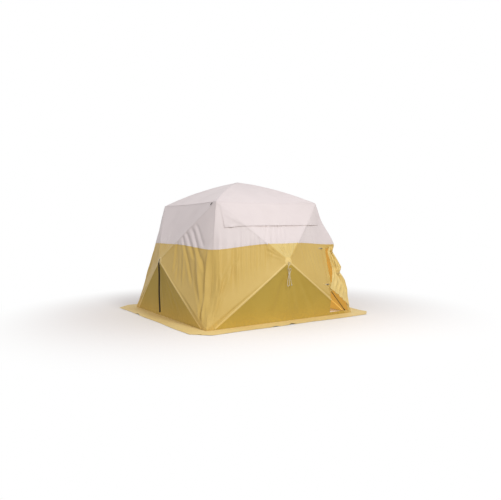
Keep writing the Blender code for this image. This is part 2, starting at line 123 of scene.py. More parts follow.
def mapped_grid(name, columns, rows, place, *materials, cut=(1.0, 1.0), tube=False):
    """A grid whose points are placed by place(u, v), both from 0 to 1, from a cut of that size.

    A tube joins v 0 to v 1 and closes both ends.
    """
    bm = bmesh.new()
    bmesh.ops.create_grid(bm, x_segments=columns, y_segments=rows, size=0.5)
    at = np.array([v.co[:2] for v in bm.verts]) + 0.5
    flat = at * cut
    layer = bm.loops.layers.uv.new("cloth")
    edge = bm.verts.layers.float.new("edge")
    along = bm.verts.layers.float.new("along")
    sides = np.stack((flat[:, 0], cut[0] - flat[:, 0], flat[:, 1], cut[1] - flat[:, 1]))
    nearest = sides.argmin(axis=0)
    for i, (vert, point) in enumerate(zip(bm.verts, place(at[:, 0], at[:, 1]))):
        vert.co = point
        vert[edge] = 1.0 if tube else sides[nearest[i], i]
        vert[along] = min(sides[2:, i]) if nearest[i] < 2 else min(sides[:2, i])
        for loop in vert.link_loops:
            loop[layer].uv = flat[i]
    if tube:
        bmesh.ops.remove_doubles(bm, verts=bm.verts, dist=SAME_POINT)
        bmesh.ops.holes_fill(bm, edges=[e for e in bm.edges if e.is_boundary], sides=0)
        bmesh.ops.recalc_face_normals(bm, faces=bm.faces)
    return object_from(bm, name, *materials)


def path_frames(path):
    """Tangent, side and up vectors along a path, without twist."""
    tangents = np.gradient(path, axis=0)
    tangents /= np.linalg.norm(tangents, axis=1, keepdims=True)
    up = Z_AXIS if abs(tangents[0][2]) < STEEP else Y_AXIS
    side = Vector(tangents[0]).cross(up).normalized()
    sides = []
    for tangent in tangents:
        tangent = Vector(tangent)
        side = (side - tangent * side.dot(tangent)).normalized()
        sides.append(side.copy())
    sides = np.array(sides)
    return tangents, sides, np.cross(tangents, sides)


def sweep(name, path, profile, *materials):
    """A closed bar along a path. The profile is a list of (side, up) points round it."""
    path = np.array(path, float)
    profile = np.array(list(profile) + [profile[0]], float)
    _, sides, ups = path_frames(path)
    lengths = np.concatenate(((0,), np.cumsum(np.linalg.norm(np.diff(path, axis=0), axis=1))))
    girth = np.linalg.norm(np.diff(profile, axis=0), axis=1).sum()

    def place(u, v):
        i = np.rint(u * (len(path) - 1)).astype(int)
        j = np.rint(v * (len(profile) - 1)).astype(int)
        return path[i] + sides[i] * profile[j, :1] + ups[i] * profile[j, 1:]

    return mapped_grid(name, len(path) - 1, len(profile) - 1, place, *materials,
                       cut=(float(lengths[-1]), float(girth)), tube=True)


def round_profile(radius, sides=8):
    return [(radius * math.cos(math.tau * i / sides), radius * math.sin(math.tau * i / sides))
            for i in range(sides)]


def flat_profile(width, thickness, side_steps=4):
    """A webbing's section, with rounded edges."""
    half, edge = width / 2 - thickness / 2, thickness / 2
    points = []
    for sign in (1, -1):
        for i in range(side_steps + 1):
            angle = math.pi * (i / side_steps - 0.5)
            points.append((sign * (half + edge * math.cos(angle)), sign * edge * math.sin(angle)))
    return points


def smooth_path(points, steps=8):
    """A smooth curve through points."""
    points = [Vector(p) for p in points]
    ends = [points[0] * 2 - points[1]] + points + [points[-1] * 2 - points[-2]]
    path = []
    for a, b, c, d in zip(ends, ends[1:], ends[2:], ends[3:]):
        for i in range(steps):
            t = i / steps
            path.append(b + ((c - a) * t + (a * 2 - b * 5 + c * 4 - d) * t ** 2
                             + (b * 3 - a - c * 3 + d) * t ** 3) / 2)
    return path + [points[-1]]


# Camera, at the photograph's place and framing
CAMERA_PLACE = Vector((-4.20, -6.94, 1.30))
CAMERA_YAW, CAMERA_PITCH, CAMERA_ROLL = (math.radians(a) for a in (32.2, -1.9, 0.56))
CAMERA_LENS = 37.35
CAMERA_SENSOR = 36
CAMERA_SHIFT = (0.0063, -0.0127)


def make_camera():
    ahead = Vector((math.sin(CAMERA_YAW) * math.cos(CAMERA_PITCH),
                    math.cos(CAMERA_YAW) * math.cos(CAMERA_PITCH), math.sin(CAMERA_PITCH)))
    right = ahead.cross(Z_AXIS).normalized()
    up = right.cross(ahead)
    x_axis = right * math.cos(CAMERA_ROLL) - up * math.sin(CAMERA_ROLL)
    y_axis = right * math.sin(CAMERA_ROLL) + up * math.cos(CAMERA_ROLL)
    data = bpy.data.cameras.new("camera")
    data.lens = CAMERA_LENS
    data.sensor_width = CAMERA_SENSOR
    data.shift_x, data.shift_y = CAMERA_SHIFT
    camera = bpy.data.objects.new("camera", data)
    bpy.context.scene.collection.objects.link(camera)
    turn = Matrix((x_axis, y_axis, -ahead)).transposed().to_4x4()
    camera.matrix_world = Matrix.Translation(CAMERA_PLACE) @ turn
    bpy.context.scene.camera = camera


make_camera()

# Guy rope that hangs in a hank from the front hub's ring

ROPE_DIAMETER = 0.005
ROPE_OFF_RING = 0.003
ROPE_SWAY, ROPE_SWAY_RATE = 0.0025, 90
TIE_HEIGHT, TIE_TURNS, TIE_PITCH = 0.658, 3, 0.0028
TIE_HALF, TIE_DEPTH, TIE_RADIUS = 0.0125, 0.0047, 0.0012
KNOT_HEIGHT, KNOT_HALF, KNOT_DEPTH = 0.500, 0.0062, 0.0052
ROPE_SIDES, KNOT_SIDES = 12, 10
TIE_STEPS, KNOT_STEPS = 60, 50
RING_RADIUS = 0.016
RING_WIRE = 0.0025
ring_low, ring_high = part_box("front_ring")
RING_PLACE = (ring_low + ring_high) / 2
ROPE_ROUTE = (
    (0.0, 0.7805), (-0.006, 0.765), (-0.016, 0.742), (-0.018, 0.715), (-0.0118, 0.685), (-0.008, 0.658),
    (-0.012, 0.630), (-0.022, 0.580), (-0.030, 0.530), (-0.0315, 0.508), (-0.0270, 0.4935),
    (-0.0165, 0.488), (-0.0058, 0.4935), (-0.0012, 0.508), (-0.0005, 0.540), (0.0, 0.600), (0.0, 0.658),
    (0.0018, 0.690), (0.0018, 0.711), (0.0075, 0.7245), (0.0175, 0.7285), (0.0262, 0.7215), (0.0268, 0.707),
    (0.0170, 0.682), (0.0082, 0.658), (0.0115, 0.620), (0.0210, 0.575), (0.0310, 0.535), (0.0365, 0.505))


def make_rope():
    y = RING_PLACE.y - ROPE_OFF_RING
    path = smooth_path([(x, y - ROPE_SWAY * math.sin(x * ROPE_SWAY_RATE), z) for x, z in ROPE_ROUTE])
    rope = sweep("guy_rope", path, round_profile(ROPE_DIAMETER / 2, ROPE_SIDES))
    tie_path = [(TIE_HALF * math.cos(a), y + TIE_DEPTH * math.sin(a), TIE_HEIGHT + TIE_PITCH * a / math.tau)
                for a in np.linspace(0, TIE_TURNS * math.tau, TIE_STEPS)]
    tie = sweep("guy_rope_tie", tie_path, round_profile(TIE_RADIUS))
    knot_path = [(KNOT_HALF * math.sin(2 * a) + ROPE_ROUTE[-1][0], y - KNOT_DEPTH * math.cos(3 * a),
                  KNOT_HEIGHT + KNOT_HALF * math.sin(3 * a + 1))
                 for a in np.linspace(0, math.tau, KNOT_STEPS)]
    knot = sweep("guy_rope_knot", knot_path, round_profile(ROPE_DIAMETER / 2, KNOT_SIDES))
    for obj in (rope, tie, knot):
        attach(obj, "rope_hank")
    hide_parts("rope_hank")
    return rope, tie, knot


rope_pieces = make_rope()

# Materials

VECTOR, FLOAT = "NodeSocketVector", "NodeSocketFloat"
TONE_SPAN = (0.3, 0.75)


class Nodes:
    """Adds and links nodes in a material or a group."""

    def __init__(self, tree):
        self.tree = tree

    def add(self, kind, inputs=None, **settings):
        node = self.tree.nodes.new(kind)
        for key, value in settings.items():
            setattr(node, key, value)
        for key, value in (inputs or {}).items():
            self.feed(node.inputs[key], value)
        return node

    def feed(self, inlet, value):
        if isinstance(value, bpy.types.NodeSocket):
            self.tree.links.new(value, inlet)
        else:
            inlet.default_value = value

    def math(self, operation, a, b=0.0, clamp=False):
        node = self.add("ShaderNodeMath", {0: a, 1: b}, operation=operation, use_clamp=clamp)
        return node.outputs[0]

    def ramp(self, value, low, high, out_low=0.0, out_high=1.0):
        node = self.add("ShaderNodeMapRange", {"Value": value, "From Min": low, "From Max": high,
                                               "To Min": out_low, "To Max": out_high})
        node.interpolation_type = "SMOOTHSTEP"
        return node.outputs["Result"]

    def mix(self, share, a, b):
        node = self.add("ShaderNodeMix", {"Factor": share, "A": a, "B": b}, data_type="RGBA")
        return node.outputs["Result"]

    def noise(self, vector, scale, detail=3.0, roughness=0.55):
        node = self.add("ShaderNodeTexNoise", {"Vector": vector, "Scale": scale, "Detail": detail,
                                               "Roughness": roughness})
        return node.outputs["Fac"]


def new_group(name, inlets, outlets):
    """A node group. Each inlet or outlet is a name, a type and, where it has one, a value."""
    group = bpy.data.node_groups.new(name, "ShaderNodeTree")
    for in_out, sockets in (("INPUT", inlets), ("OUTPUT", outlets)):
        for title, kind, *value in sockets:
            made = group.interface.new_socket(name=title, in_out=in_out, socket_type=kind)
            if value:
                made.default_value = value[0]
    nodes = Nodes(group)
    start = nodes.add("NodeGroupInput")
    end = nodes.add("NodeGroupOutput")
    return group, nodes, start.outputs, end.inputs


UNDER_THREAD = 0.4


def weave_group():
    """Height of a plain weave, 0 to 1. Vector is in metres along the threads."""
    group, n, given, result = new_group(
        "plain_weave", [("Vector", VECTOR), ("Thread", FLOAT, 0.0008)], [("Height", FLOAT)])
    parts = n.add("ShaderNodeSeparateXYZ", {0: given["Vector"]})
    threads = []
    for axis, other in (("X", "Y"), ("Y", "X")):
        turns = n.math("DIVIDE", parts.outputs[axis], given["Thread"])
        rows = n.math("DIVIDE", parts.outputs[other], given["Thread"])
        bulge = n.math("ABSOLUTE", n.math("SINE", n.math("MULTIPLY", turns, math.pi)))
        over = n.math("MODULO", n.math("ADD", n.math("FLOOR", turns), n.math("FLOOR", rows)), 2.0)
        over = n.math("ABSOLUTE", over)
        if axis == "Y":
            over = n.math("SUBTRACT", 1.0, over)
        raised = n.math("ADD", n.math("MULTIPLY", over, 1 - UNDER_THREAD), UNDER_THREAD)
        threads.append(n.math("MULTIPLY", bulge, raised))
    n.feed(result["Height"], n.math("MAXIMUM", *threads))
    return group


CLOUD_SCALE, BLOTCH_SPAN = 3.1, (0.5, 0.78)
SPECK_SCALE, MUD_SPAN = 26.0, (0.35, 0.7)


def soil_group():
    """How soiled a surface is, 0 to 1: near the ground, and in blotches."""
    group, n, given, result = new_group(
        "soil", [("Vector", VECTOR), ("Reach", FLOAT, 0.35), ("Blotches", FLOAT, 0.3)], [("Mask", FLOAT)])
    parts = n.add("ShaderNodeSeparateXYZ", {0: given["Vector"]})
    low = n.math("SUBTRACT", 1.0, n.math("DIVIDE", parts.outputs["Z"], given["Reach"]), clamp=True)
    low = n.math("POWER", low, 2.0)
    cloud = n.noise(given["Vector"], CLOUD_SCALE, detail=5.0, roughness=0.6)
    speck = n.noise(given["Vector"], SPECK_SCALE, detail=4.0, roughness=0.65)
    mud = n.math("MULTIPLY", low, n.ramp(speck, *MUD_SPAN))
    blotch = n.math("MULTIPLY", n.ramp(cloud, *BLOTCH_SPAN), given["Blotches"])
    n.feed(result["Mask"], n.math("ADD", mud, blotch, clamp=True))
    return group


SEAM_INSET, STITCH_PITCH = 0.007, 0.0045
THREAD_SPAN, STITCH_SPAN = (0.0005, 0.0009), (0.36, 0.42)
HEM_INSETS, HEM_FADE = 2.6, 0.0006
PUCKER_SCALE, PUCKER_SPAN = 46.0, (0.004, 0.055)


def stitch_group():
    """Sewing beside a panel's edge. Edge and Along are metres from and along the edge."""
    group, n, given, result = new_group(
        "stitching", [("Edge", FLOAT), ("Along", FLOAT), ("Inset", FLOAT, SEAM_INSET),
                      ("Pitch", FLOAT, STITCH_PITCH)],
        [("Thread", FLOAT), ("Hem", FLOAT), ("Pucker", FLOAT)])
    off = n.math("ABSOLUTE", n.math("SUBTRACT", given["Edge"], given["Inset"]))
    second = n.math("ABSOLUTE", n.math("SUBTRACT", given["Edge"], n.math("MULTIPLY", given["Inset"], 2.0)))
    line = n.ramp(n.math("MINIMUM", off, second), *THREAD_SPAN, 1.0, 0.0)
    beat = n.math("FRACT", n.math("DIVIDE", given["Along"], given["Pitch"]))
    beat = n.math("ABSOLUTE", n.math("SUBTRACT", beat, 0.5))
    n.feed(result["Thread"], n.math("MULTIPLY", line, n.ramp(beat, *STITCH_SPAN, 1.0, 0.0)))
    hem_end = n.math("MULTIPLY", given["Inset"], HEM_INSETS)
    n.feed(result["Hem"], n.ramp(n.math("SUBTRACT", given["Edge"], hem_end), 0.0, HEM_FADE, 1.0, 0.0))
    drift = n.add("ShaderNodeCombineXYZ", {0: given["Along"], 1: 0.0, 2: 0.0}).outputs[0]
    wave = n.math("SUBTRACT", n.noise(drift, PUCKER_SCALE, 1.0), 0.5)
    n.feed(result["Pucker"], n.math("MULTIPLY", wave, n.ramp(given["Edge"], *PUCKER_SPAN, 1.0, 0.0)))
    return group


BEND_SCALE, BEND = 2.3, 0.22
CREASE_WIDTH, CREASE_DEPTH = 0.13, 0.25
CREASED_SCALE, CREASED_SPAN = 4.0, (0.45, 0.65)
SOFT_SCALE, SOFT_HEIGHT = 11.0, 0.6


def crease_group():
    """Fine creases left by packing, as a height from 0 to 1."""
    group, n, given, result = new_group(
        "packing_creases", [("Vector", VECTOR), ("Scale", FLOAT, 5.0)], [("Height", FLOAT)])
    bent = n.add("ShaderNodeTexNoise", {"Vector": given["Vector"], "Scale": BEND_SCALE, "Detail": 2.0})
    drift = n.add("ShaderNodeVectorMath", {0: bent.outputs["Color"], "Scale": BEND}, operation="SCALE")
    moved = n.add("ShaderNodeVectorMath", {0: given["Vector"], 1: drift.outputs[0]}, operation="ADD")
    cells = n.add("ShaderNodeTexVoronoi", {"Vector": moved.outputs[0], "Scale": given["Scale"]},
                  feature="DISTANCE_TO_EDGE")
    patchy = n.ramp(n.noise(given["Vector"], CREASED_SCALE, 2.0), *CREASED_SPAN)
    line = n.math("MULTIPLY", n.ramp(cells.outputs["Distance"], 0.0, CREASE_WIDTH, 1.0, 0.0), patchy)
    soft = n.noise(given["Vector"], SOFT_SCALE, detail=4.0, roughness=0.6)
    height = n.math("MULTIPLY", soft, SOFT_HEIGHT)
    n.feed(result["Height"], n.math("SUBTRACT", height, n.math("MULTIPLY", line, CREASE_DEPTH)))
    return group


WEAVE, SOIL, STITCHES, CREASES = weave_group(), soil_group(), stitch_group(), crease_group()


def grouped(n, tree, **inputs):
    node = n.add("ShaderNodeGroup", node_tree=tree)
    for key, value in inputs.items():
        n.feed(node.inputs[key], value)
    return node.outputs


def new_material(name, roughness, metallic=0.0, sheen=0.0):
    mat = bpy.data.materials.new(name)
    mat.use_nodes = True
    shader = mat.node_tree.nodes["Principled BSDF"]
    shader.inputs["Roughness"].default_value = roughness
    shader.inputs["Metallic"].default_value = metallic
    shader.inputs["Sheen Weight"].default_value = sheen
    return mat, Nodes(mat.node_tree), shader


FABRIC_ROUGHNESS, FABRIC_SHEEN, FABRIC_SPECULAR = 0.62, 0.12, 0.35
FABRIC_THREAD = 0.0009
FABRIC_BLOTCHES = 0.25
TONE_SCALE = 1.7
SLUB_SCALE, SLUB_SPAN, SLUB_SHARE = (9.0, 700.0, 1.0), (0.4, 0.7), 0.12
HEM_SHARE, THREAD_SHARE, THREAD_SHADE = 0.12, 0.45, 0.78
WEAVE_HEIGHT, CREASE_HEIGHT = 0.00012, 0.0016
HEM_HEIGHT, THREAD_HEIGHT, PUCKER_HEIGHT = 0.0004, 0.0003, 0.0034
FABRIC_BUMP = 0.9
CLEAN_ROUGHNESS, CREASE_ROUGHNESS, DIRT_ROUGHNESS = 0.5, 0.1, 0.25


def coated_fabric(name, colour, deep, soil, soiling, pucker=PUCKER_HEIGHT, painted_glow=None):
    """Coated plain-weave fabric, sewn along its panel's edges. A painted glow is painted light: an emission
    in place of the light that comes through the cloth.
    """
    mat, n, shader = new_material(name, FABRIC_ROUGHNESS, sheen=FABRIC_SHEEN)
    shader.inputs["Specular IOR Level"].default_value = FABRIC_SPECULAR
    place = n.add("ShaderNodeTexCoord").outputs["Object"]
    cloth_map = n.add("ShaderNodeUVMap", uv_map="cloth").outputs["UV"]
    edge = n.add("ShaderNodeAttribute", attribute_name="edge").outputs["Fac"]
    along = n.add("ShaderNodeAttribute", attribute_name="along").outputs["Fac"]
    sewing = grouped(n, STITCHES, Edge=edge, Along=along)
    weave = grouped(n, WEAVE, Vector=cloth_map, Thread=FABRIC_THREAD)["Height"]
    crease = grouped(n, CREASES, Vector=place)["Height"]
    dirt = grouped(n, SOIL, Vector=place, Blotches=FABRIC_BLOTCHES)["Mask"]
    tone = n.noise(place, TONE_SCALE, detail=4.0, roughness=0.6)
    stretched = n.add("ShaderNodeMapping", {"Vector": cloth_map, "Scale": SLUB_SCALE}).outputs[0]
    slub = n.ramp(n.noise(stretched, 1.0, 2.0), *SLUB_SPAN)
    thread = [c * THREAD_SHADE for c in colour]
    base = n.mix(n.ramp(tone, *TONE_SPAN), (*colour, 1), (*deep, 1))
    for mask, share, tint in ((slub, SLUB_SHARE, deep), (sewing["Hem"], HEM_SHARE, deep),
                              (sewing["Thread"], THREAD_SHARE, thread), (dirt, soiling, soil)):
        base = n.mix(n.math("MULTIPLY", mask, share), base, (*tint, 1))
    n.feed(shader.inputs["Base Color"], base)
    creased, dirty = n.math("MULTIPLY", crease, CREASE_ROUGHNESS), n.math("MULTIPLY", dirt, DIRT_ROUGHNESS)
    n.feed(shader.inputs["Roughness"], n.math("ADD", n.math("ADD", creased, dirty), CLEAN_ROUGHNESS))
    height = n.math("MULTIPLY", weave, WEAVE_HEIGHT)
    for raised, reach in ((crease, CREASE_HEIGHT), (sewing["Hem"], HEM_HEIGHT), (sewing["Pucker"], pucker),
                          (sewing["Thread"], THREAD_HEIGHT)):
        height = n.math("ADD", height, n.math("MULTIPLY", raised, reach))
    bump = n.add("ShaderNodeBump", {"Height": height, "Strength": FABRIC_BUMP, "Distance": 1.0})
    n.feed(shader.inputs["Normal"], bump.outputs["Normal"])
    # Painted light: the fabric emits in place of light shining through it
    if painted_glow:
        shader.inputs["Emission Color"].default_value = (*painted_glow[0], 1)
        shader.inputs["Emission Strength"].default_value = painted_glow[1]
    return mat


WHITE, WHITE_DEEP = (0.79, 0.72, 0.725), (0.75, 0.68, 0.69)
WHITE_COATING, WHITE_COATING_DEEP = (0.74, 0.69, 0.66), (0.70, 0.64, 0.60)
# The inside coatings glow: painted light, in place of the light that comes through the cloth
WHITE_PAINTED_GLOW = ((0.85, 0.80, 0.74), 0.30)
YELLOW, YELLOW_DEEP = (0.69, 0.49, 0.145), (0.655, 0.45, 0.12)
YELLOW_COATING, YELLOW_COATING_DEEP = (0.76, 0.47, 0.11), (0.72, 0.42, 0.09)
YELLOW_PAINTED_GLOW = ((0.95, 0.58, 0.12), 0.36)
# The panels under the hub get a darker, more saturated yellow: painted shade, as they face a little down
SHADED_LOW_YELLOW, SHADED_LOW_YELLOW_DEEP = (0.60, 0.425, 0.080), (0.56, 0.385, 0.065)
PALE_YELLOW, PALE_YELLOW_DEEP = (0.87, 0.68, 0.28), (0.83, 0.61, 0.22)
# A paler yellow for the front wall's upper yellow gore alone: painted light on that one panel
PAINTED_LIGHT_YELLOW, PAINTED_LIGHT_YELLOW_DEEP = (0.74, 0.58, 0.235), (0.705, 0.535, 0.19)
# The gathered door gets a paler yellow than the walls: painted light on its folds
DOOR_PAINTED_LIGHT_YELLOW, DOOR_PAINTED_LIGHT_YELLOW_DEEP = (0.86, 0.675, 0.285), (0.80, 0.59, 0.20)
# Pale tape. On the lower rods its paleness is partly a painted highlight along their upper side
TAPE_YELLOW = (0.84, 0.64, 0.25)
EARTH, DUST = (0.23, 0.17, 0.10), (0.45, 0.40, 0.36)
TAPE_PUCKER, PALE_TAPE_PUCKER = 0.0006, 0.0008
PAINTED_LIGHT_PANEL = "front_top_yellow_panel"
mats = {
    "white": coated_fabric("white_fabric", WHITE, WHITE_DEEP, DUST, 0.35),
    "yellow": coated_fabric("yellow_fabric", YELLOW, YELLOW_DEEP, EARTH, 0.2),
    "shaded_low_yellow": coated_fabric("yellow_fabric_low", SHADED_LOW_YELLOW, SHADED_LOW_YELLOW_DEEP, EARTH, 0.2),
    "painted_light_yellow": coated_fabric("yellow_fabric_painted_light", PAINTED_LIGHT_YELLOW, PAINTED_LIGHT_YELLOW_DEEP, EARTH, 0.1),
    "skirt": coated_fabric("skirt_fabric", PALE_YELLOW, PALE_YELLOW_DEEP, EARTH, 0.12),
    "door": coated_fabric("door_fabric", DOOR_PAINTED_LIGHT_YELLOW, DOOR_PAINTED_LIGHT_YELLOW_DEEP, EARTH, 0.08),
    "white_tape": coated_fabric("white_tape", WHITE, WHITE_DEEP, DUST, 0.2, TAPE_PUCKER),
    "yellow_tape": coated_fabric("yellow_tape", YELLOW, YELLOW_DEEP, EARTH, 0.1, TAPE_PUCKER),
    "pale_tape": coated_fabric("pale_tape", TAPE_YELLOW, PALE_YELLOW_DEEP, EARTH, 0.1, PALE_TAPE_PUCKER),
    "white_inside": coated_fabric("white_fabric_coating", WHITE_COATING, WHITE_COATING_DEEP, DUST, 0.2,
                                  painted_glow=WHITE_PAINTED_GLOW),
    "yellow_inside": coated_fabric("yellow_fabric_coating", YELLOW_COATING, YELLOW_COATING_DEEP, EARTH, 0.2,
                                   painted_glow=YELLOW_PAINTED_GLOW),
}


WEAR_SCALE, WEAR_SHADE = 7.0, 0.8
FINISH_SPAN, SMOOTHER, ROUGHER = (0.2, 0.8), 0.08, 0.1


def plain_material(name, colour, roughness, bump_scale, bump, metallic=0.0):
    """Plastic, rubber or metal, a little uneven in tone and finish."""
    mat, n, shader = new_material(name, roughness, metallic)
    place = n.add("ShaderNodeTexCoord").outputs["Object"]
    tone = n.noise(place, WEAR_SCALE, 4.0)
    base = n.mix(n.ramp(tone, *TONE_SPAN), (*colour, 1), (*(c * WEAR_SHADE for c in colour), 1))
    n.feed(shader.inputs["Base Color"], base)
    fine = n.noise(place, bump_scale, 4.0)
    finish = n.ramp(fine, *FINISH_SPAN, roughness - SMOOTHER, roughness + ROUGHER)
    n.feed(shader.inputs["Roughness"], finish)
    height = n.math("MULTIPLY", fine, bump)
    n.feed(shader.inputs["Normal"], n.add("ShaderNodeBump", {"Height": height}).outputs["Normal"])
    return mat


BAND_ROUGHNESS, BAND_SHEEN = 0.75, 0.25
BRAID_SLOPE = 0.8


def woven_band(name, colour, groove_shade, rib, bump):
    """Webbing or braid, ribbed along two slants by its UV in metres. Its colour darkens in the grooves
    between the ribs: painted shade.
    """
    mat, n, shader = new_material(name, BAND_ROUGHNESS, sheen=BAND_SHEEN)
    cloth_map = n.add("ShaderNodeUVMap", uv_map="cloth").outputs["UV"]
    parts = n.add("ShaderNodeSeparateXYZ", {0: cloth_map})
    ribs = []
    for operation in ("ADD", "SUBTRACT"):
        way = n.math(operation, parts.outputs["X"], n.math("MULTIPLY", parts.outputs["Y"], BRAID_SLOPE))
        ribs.append(n.math("ABSOLUTE", n.math("SINE", n.math("MULTIPLY", way, math.pi / rib))))
    height = n.math("MULTIPLY", *ribs)
    # Darker in the grooves between the ribs: painted shade
    n.feed(shader.inputs["Base Color"], n.mix(n.ramp(height, 0.0, 0.5), (*groove_shade, 1), (*colour, 1)))
    bump_node = n.add("ShaderNodeBump", {"Height": n.math("MULTIPLY", height, bump)})
    n.feed(shader.inputs["Normal"], bump_node.outputs["Normal"])
    return mat


NET_PITCH, NET_THREAD = 0.0022, 0.2
NET_BLACK, NET_ROUGHNESS = (0.05, 0.05, 0.05, 1), 0.6


def net_material():
    """Fine black net, open between its threads."""
    mat, n, shader = new_material("window_net", NET_ROUGHNESS)
    cloth_map = n.add("ShaderNodeUVMap", uv_map="cloth").outputs["UV"]
    parts = n.add("ShaderNodeSeparateXYZ", {0: cloth_map})
    lines = []
    for axis in ("X", "Y"):
        beat = n.math("FRACT", n.math("DIVIDE", parts.outputs[axis], NET_PITCH))
        lines.append(n.math("LESS_THAN", n.math("ABSOLUTE", n.math("SUBTRACT", beat, 0.5)), NET_THREAD))
    n.feed(shader.inputs["Alpha"], n.math("MAXIMUM", *lines))
    shader.inputs["Base Color"].default_value = NET_BLACK
    return mat


mats.update({
    "net": net_material(),
    "plastic": plain_material("black_plastic", (0.022, 0.021, 0.022), 0.42, 90.0, 0.0003),
    "rubber": plain_material("rubber", (0.030, 0.028, 0.027), 0.62, 140.0, 0.0004),
    "rod": plain_material("fibreglass_rod", (0.17, 0.165, 0.155), 0.34, 220.0, 0.0001),
    "steel": plain_material("ring_steel", (0.62, 0.61, 0.59), 0.28, 120.0, 0.0001, metallic=1.0),
    "webbing": woven_band("black_webbing", (0.045, 0.031, 0.022), (0.016, 0.011, 0.009), 0.0022, 0.0005),
    "rope": woven_band("white_rope", (0.84, 0.82, 0.76), (0.60, 0.57, 0.51), 0.0024, 0.0006),
})

for piece in rope_pieces:
    piece.data.materials.append(mats["rope"])

# Faces of the tent, as heights over a flat plan
# The plan is (x, z) on the front wall and (x, y) on the roof. The height is how far the fabric stands
# out from it: -y on the wall, z on the roof.

NOT_ZERO = 1e-6


def smooth(value, low, high):
    t = np.clip((value - low) / (high - low), 0, 1)
    return t * t * (3 - 2 * t)


class Face:
    """A hub, the rim round it, and the bow of the rod that ends at each corner of the rim."""

    def __init__(self, hub, rim):
        self.hub = np.array(hub, float)
        self.rim = np.array([r[:3] for r in rim], float)
        run = np.linalg.norm(self.rim[:, :2] - self.hub[:2], axis=1)
        slope = (self.rim[:, 2] - self.hub[2]) / run
        self.bow = np.array([r[3] for r in rim]) * np.sqrt(1 + slope ** 2)

    def shares(self, p, q, gore):
        """Shares of a gore's first and second corner at plan points."""
        a = self.rim[gore, :2] - self.hub[:2]
        b = self.rim[(gore + 1) % len(self.rim), :2] - self.hub[:2]
        det = a[0] * b[1] - a[1] * b[0]
        dp, dq = p - self.hub[0], q - self.hub[1]
        return (dp * b[1] - dq * b[0]) / det, (a[0] * dq - a[1] * dp) / det

    def height(self, p, q):
        """Height of the tight face at plan points, and how slack it is there, 0 to 1."""
        best = np.full(p.shape, -np.inf)
        result = np.zeros(p.shape)
        slack = np.zeros(p.shape)
        for gore in range(len(self.rim)):
            following = (gore + 1) % len(self.rim)
            a, b = self.shares(p, q, gore)
            inside = np.minimum(a, b)
            out = a + b
            value = self.hub[2] * (1 - out) + self.rim[gore, 2] * a + self.rim[following, 2] * b
            value += 4 * (1 - out) * (a * self.bow[gore] + b * self.bow[following])
            take = inside > best
            best = np.where(take, inside, best)
            result = np.where(take, value, result)
            between = 4 * a * b / np.maximum(out, NOT_ZERO) ** 2
            slack = np.where(take, np.clip(between, 0, 1) * 4 * np.clip(out * (1 - out), 0, 1), slack)
        return result, slack


wall_face = Face((0, HUB_HEIGHT, HUB_REACH), [
    (-HALF_TOP, CORNER_HEIGHT, HALF_TOP, UPPER_BOW), (-HALF_BASE, WALL_FOOT, HALF_BASE, 0),
    (-FOOT, WALL_FOOT, HALF_BASE, LOWER_BOW), (FOOT, WALL_FOOT, HALF_BASE, LOWER_BOW),
    (HALF_BASE, WALL_FOOT, HALF_BASE, 0), (HALF_TOP, CORNER_HEIGHT, HALF_TOP, UPPER_BOW)])
roof_face = Face((0, 0, ROOF_HEIGHT), [
    (x * HALF_TOP, y * HALF_TOP, CORNER_HEIGHT, ROOF_BOW) for x, y in CORNERS.values()])

TOP_EDGE_SAG = 0.009
TOP_EDGE_SPAN = (0.15, 0.93)
SAG_REACH = 0.30
GORE_SLACK = 0.012
ROOF_SLACK = 0.013
ROD_COVER = 0.0009
UPPER_SLOPE = HALF_TOP / (CORNER_HEIGHT - HUB_HEIGHT)

# The corner seams have no rod, so they are drawn in and rounded. The one behind the opened door is
# pushed out above the door instead.
SEAM_SAG = 0.058
SEAM_SAG_AT, SEAM_SAG_TOP = 0.45, 1.58
SEAM_ROUNDING = 0.18
DOOR_SEAM_SAG = 0.006
FLARE = 0.055
FLARE_LOW, FLARE_AT, FLARE_TOP = 0.88, 1.06, 1.42
FLARE_REACH = 0.20
DOOR_CORNER = {("front", 1), ("right", -1)}


def seam_x(height):
    return HALF_BASE + (HALF_TOP - HALF_BASE) * height / CORNER_HEIGHT


def seam_draw(height, wall, side):
    """How far a corner seam is drawn in along both walls, at a height."""
    share = smooth(height, 0, SEAM_SAG_AT) * (1 - smooth(height, SEAM_SAG_AT, SEAM_SAG_TOP))
    if (wall, side) not in DOOR_CORNER:
        return SEAM_SAG * share
    flare = smooth(height, FLARE_LOW, FLARE_AT) * (1 - smooth(height, FLARE_AT, FLARE_TOP))
    return DOOR_SEAM_SAG * share - FLARE * flare


def corner_draw(across, height, wall):
    """How far a wall's cloth is drawn in near its corner seams, at a place across it and a height."""
    drawn = np.zeros(across.shape)
    for side in (-1, 1):
        from_seam = seam_x(height) - side * across
        reach = FLARE_REACH if (wall, side) in DOOR_CORNER else SEAM_ROUNDING
        drawn += seam_draw(height, wall, side) * np.clip(1 - np.clip(from_seam, 0, None) / reach, 0, 1) ** 2
    return drawn


# The colour change is pulled up in the middle of a wall and hangs down at its corners.
LINE_DROPS = {("front", -1): 0.050, ("left", 1): 0.050, ("front", 1): 0.030, ("right", -1): 0.030,
              ("left", -1): 0.006, ("back", 1): 0.006, ("back", -1): 0.015, ("right", 1): 0.015}
LINE_RISE, LINE_RISE_HALF = 0.014, 0.9
LINE_REACH, LINE_BAND = 0.75, 0.42


def line_shift(across, height, wall):
    """How far the cloth is pulled up, or down at the corners, about the colour change."""
    shift = LINE_RISE * np.clip(1 - (across / LINE_RISE_HALF) ** 2, 0, 1)
    for side in (-1, 1):
        near = 1 - smooth(seam_x(height) - side * across, 0, LINE_REACH)
        shift -= LINE_DROPS[wall, side] * near
    return shift * (1 - smooth(np.abs(height - COLOUR_LINE), 0, LINE_BAND))


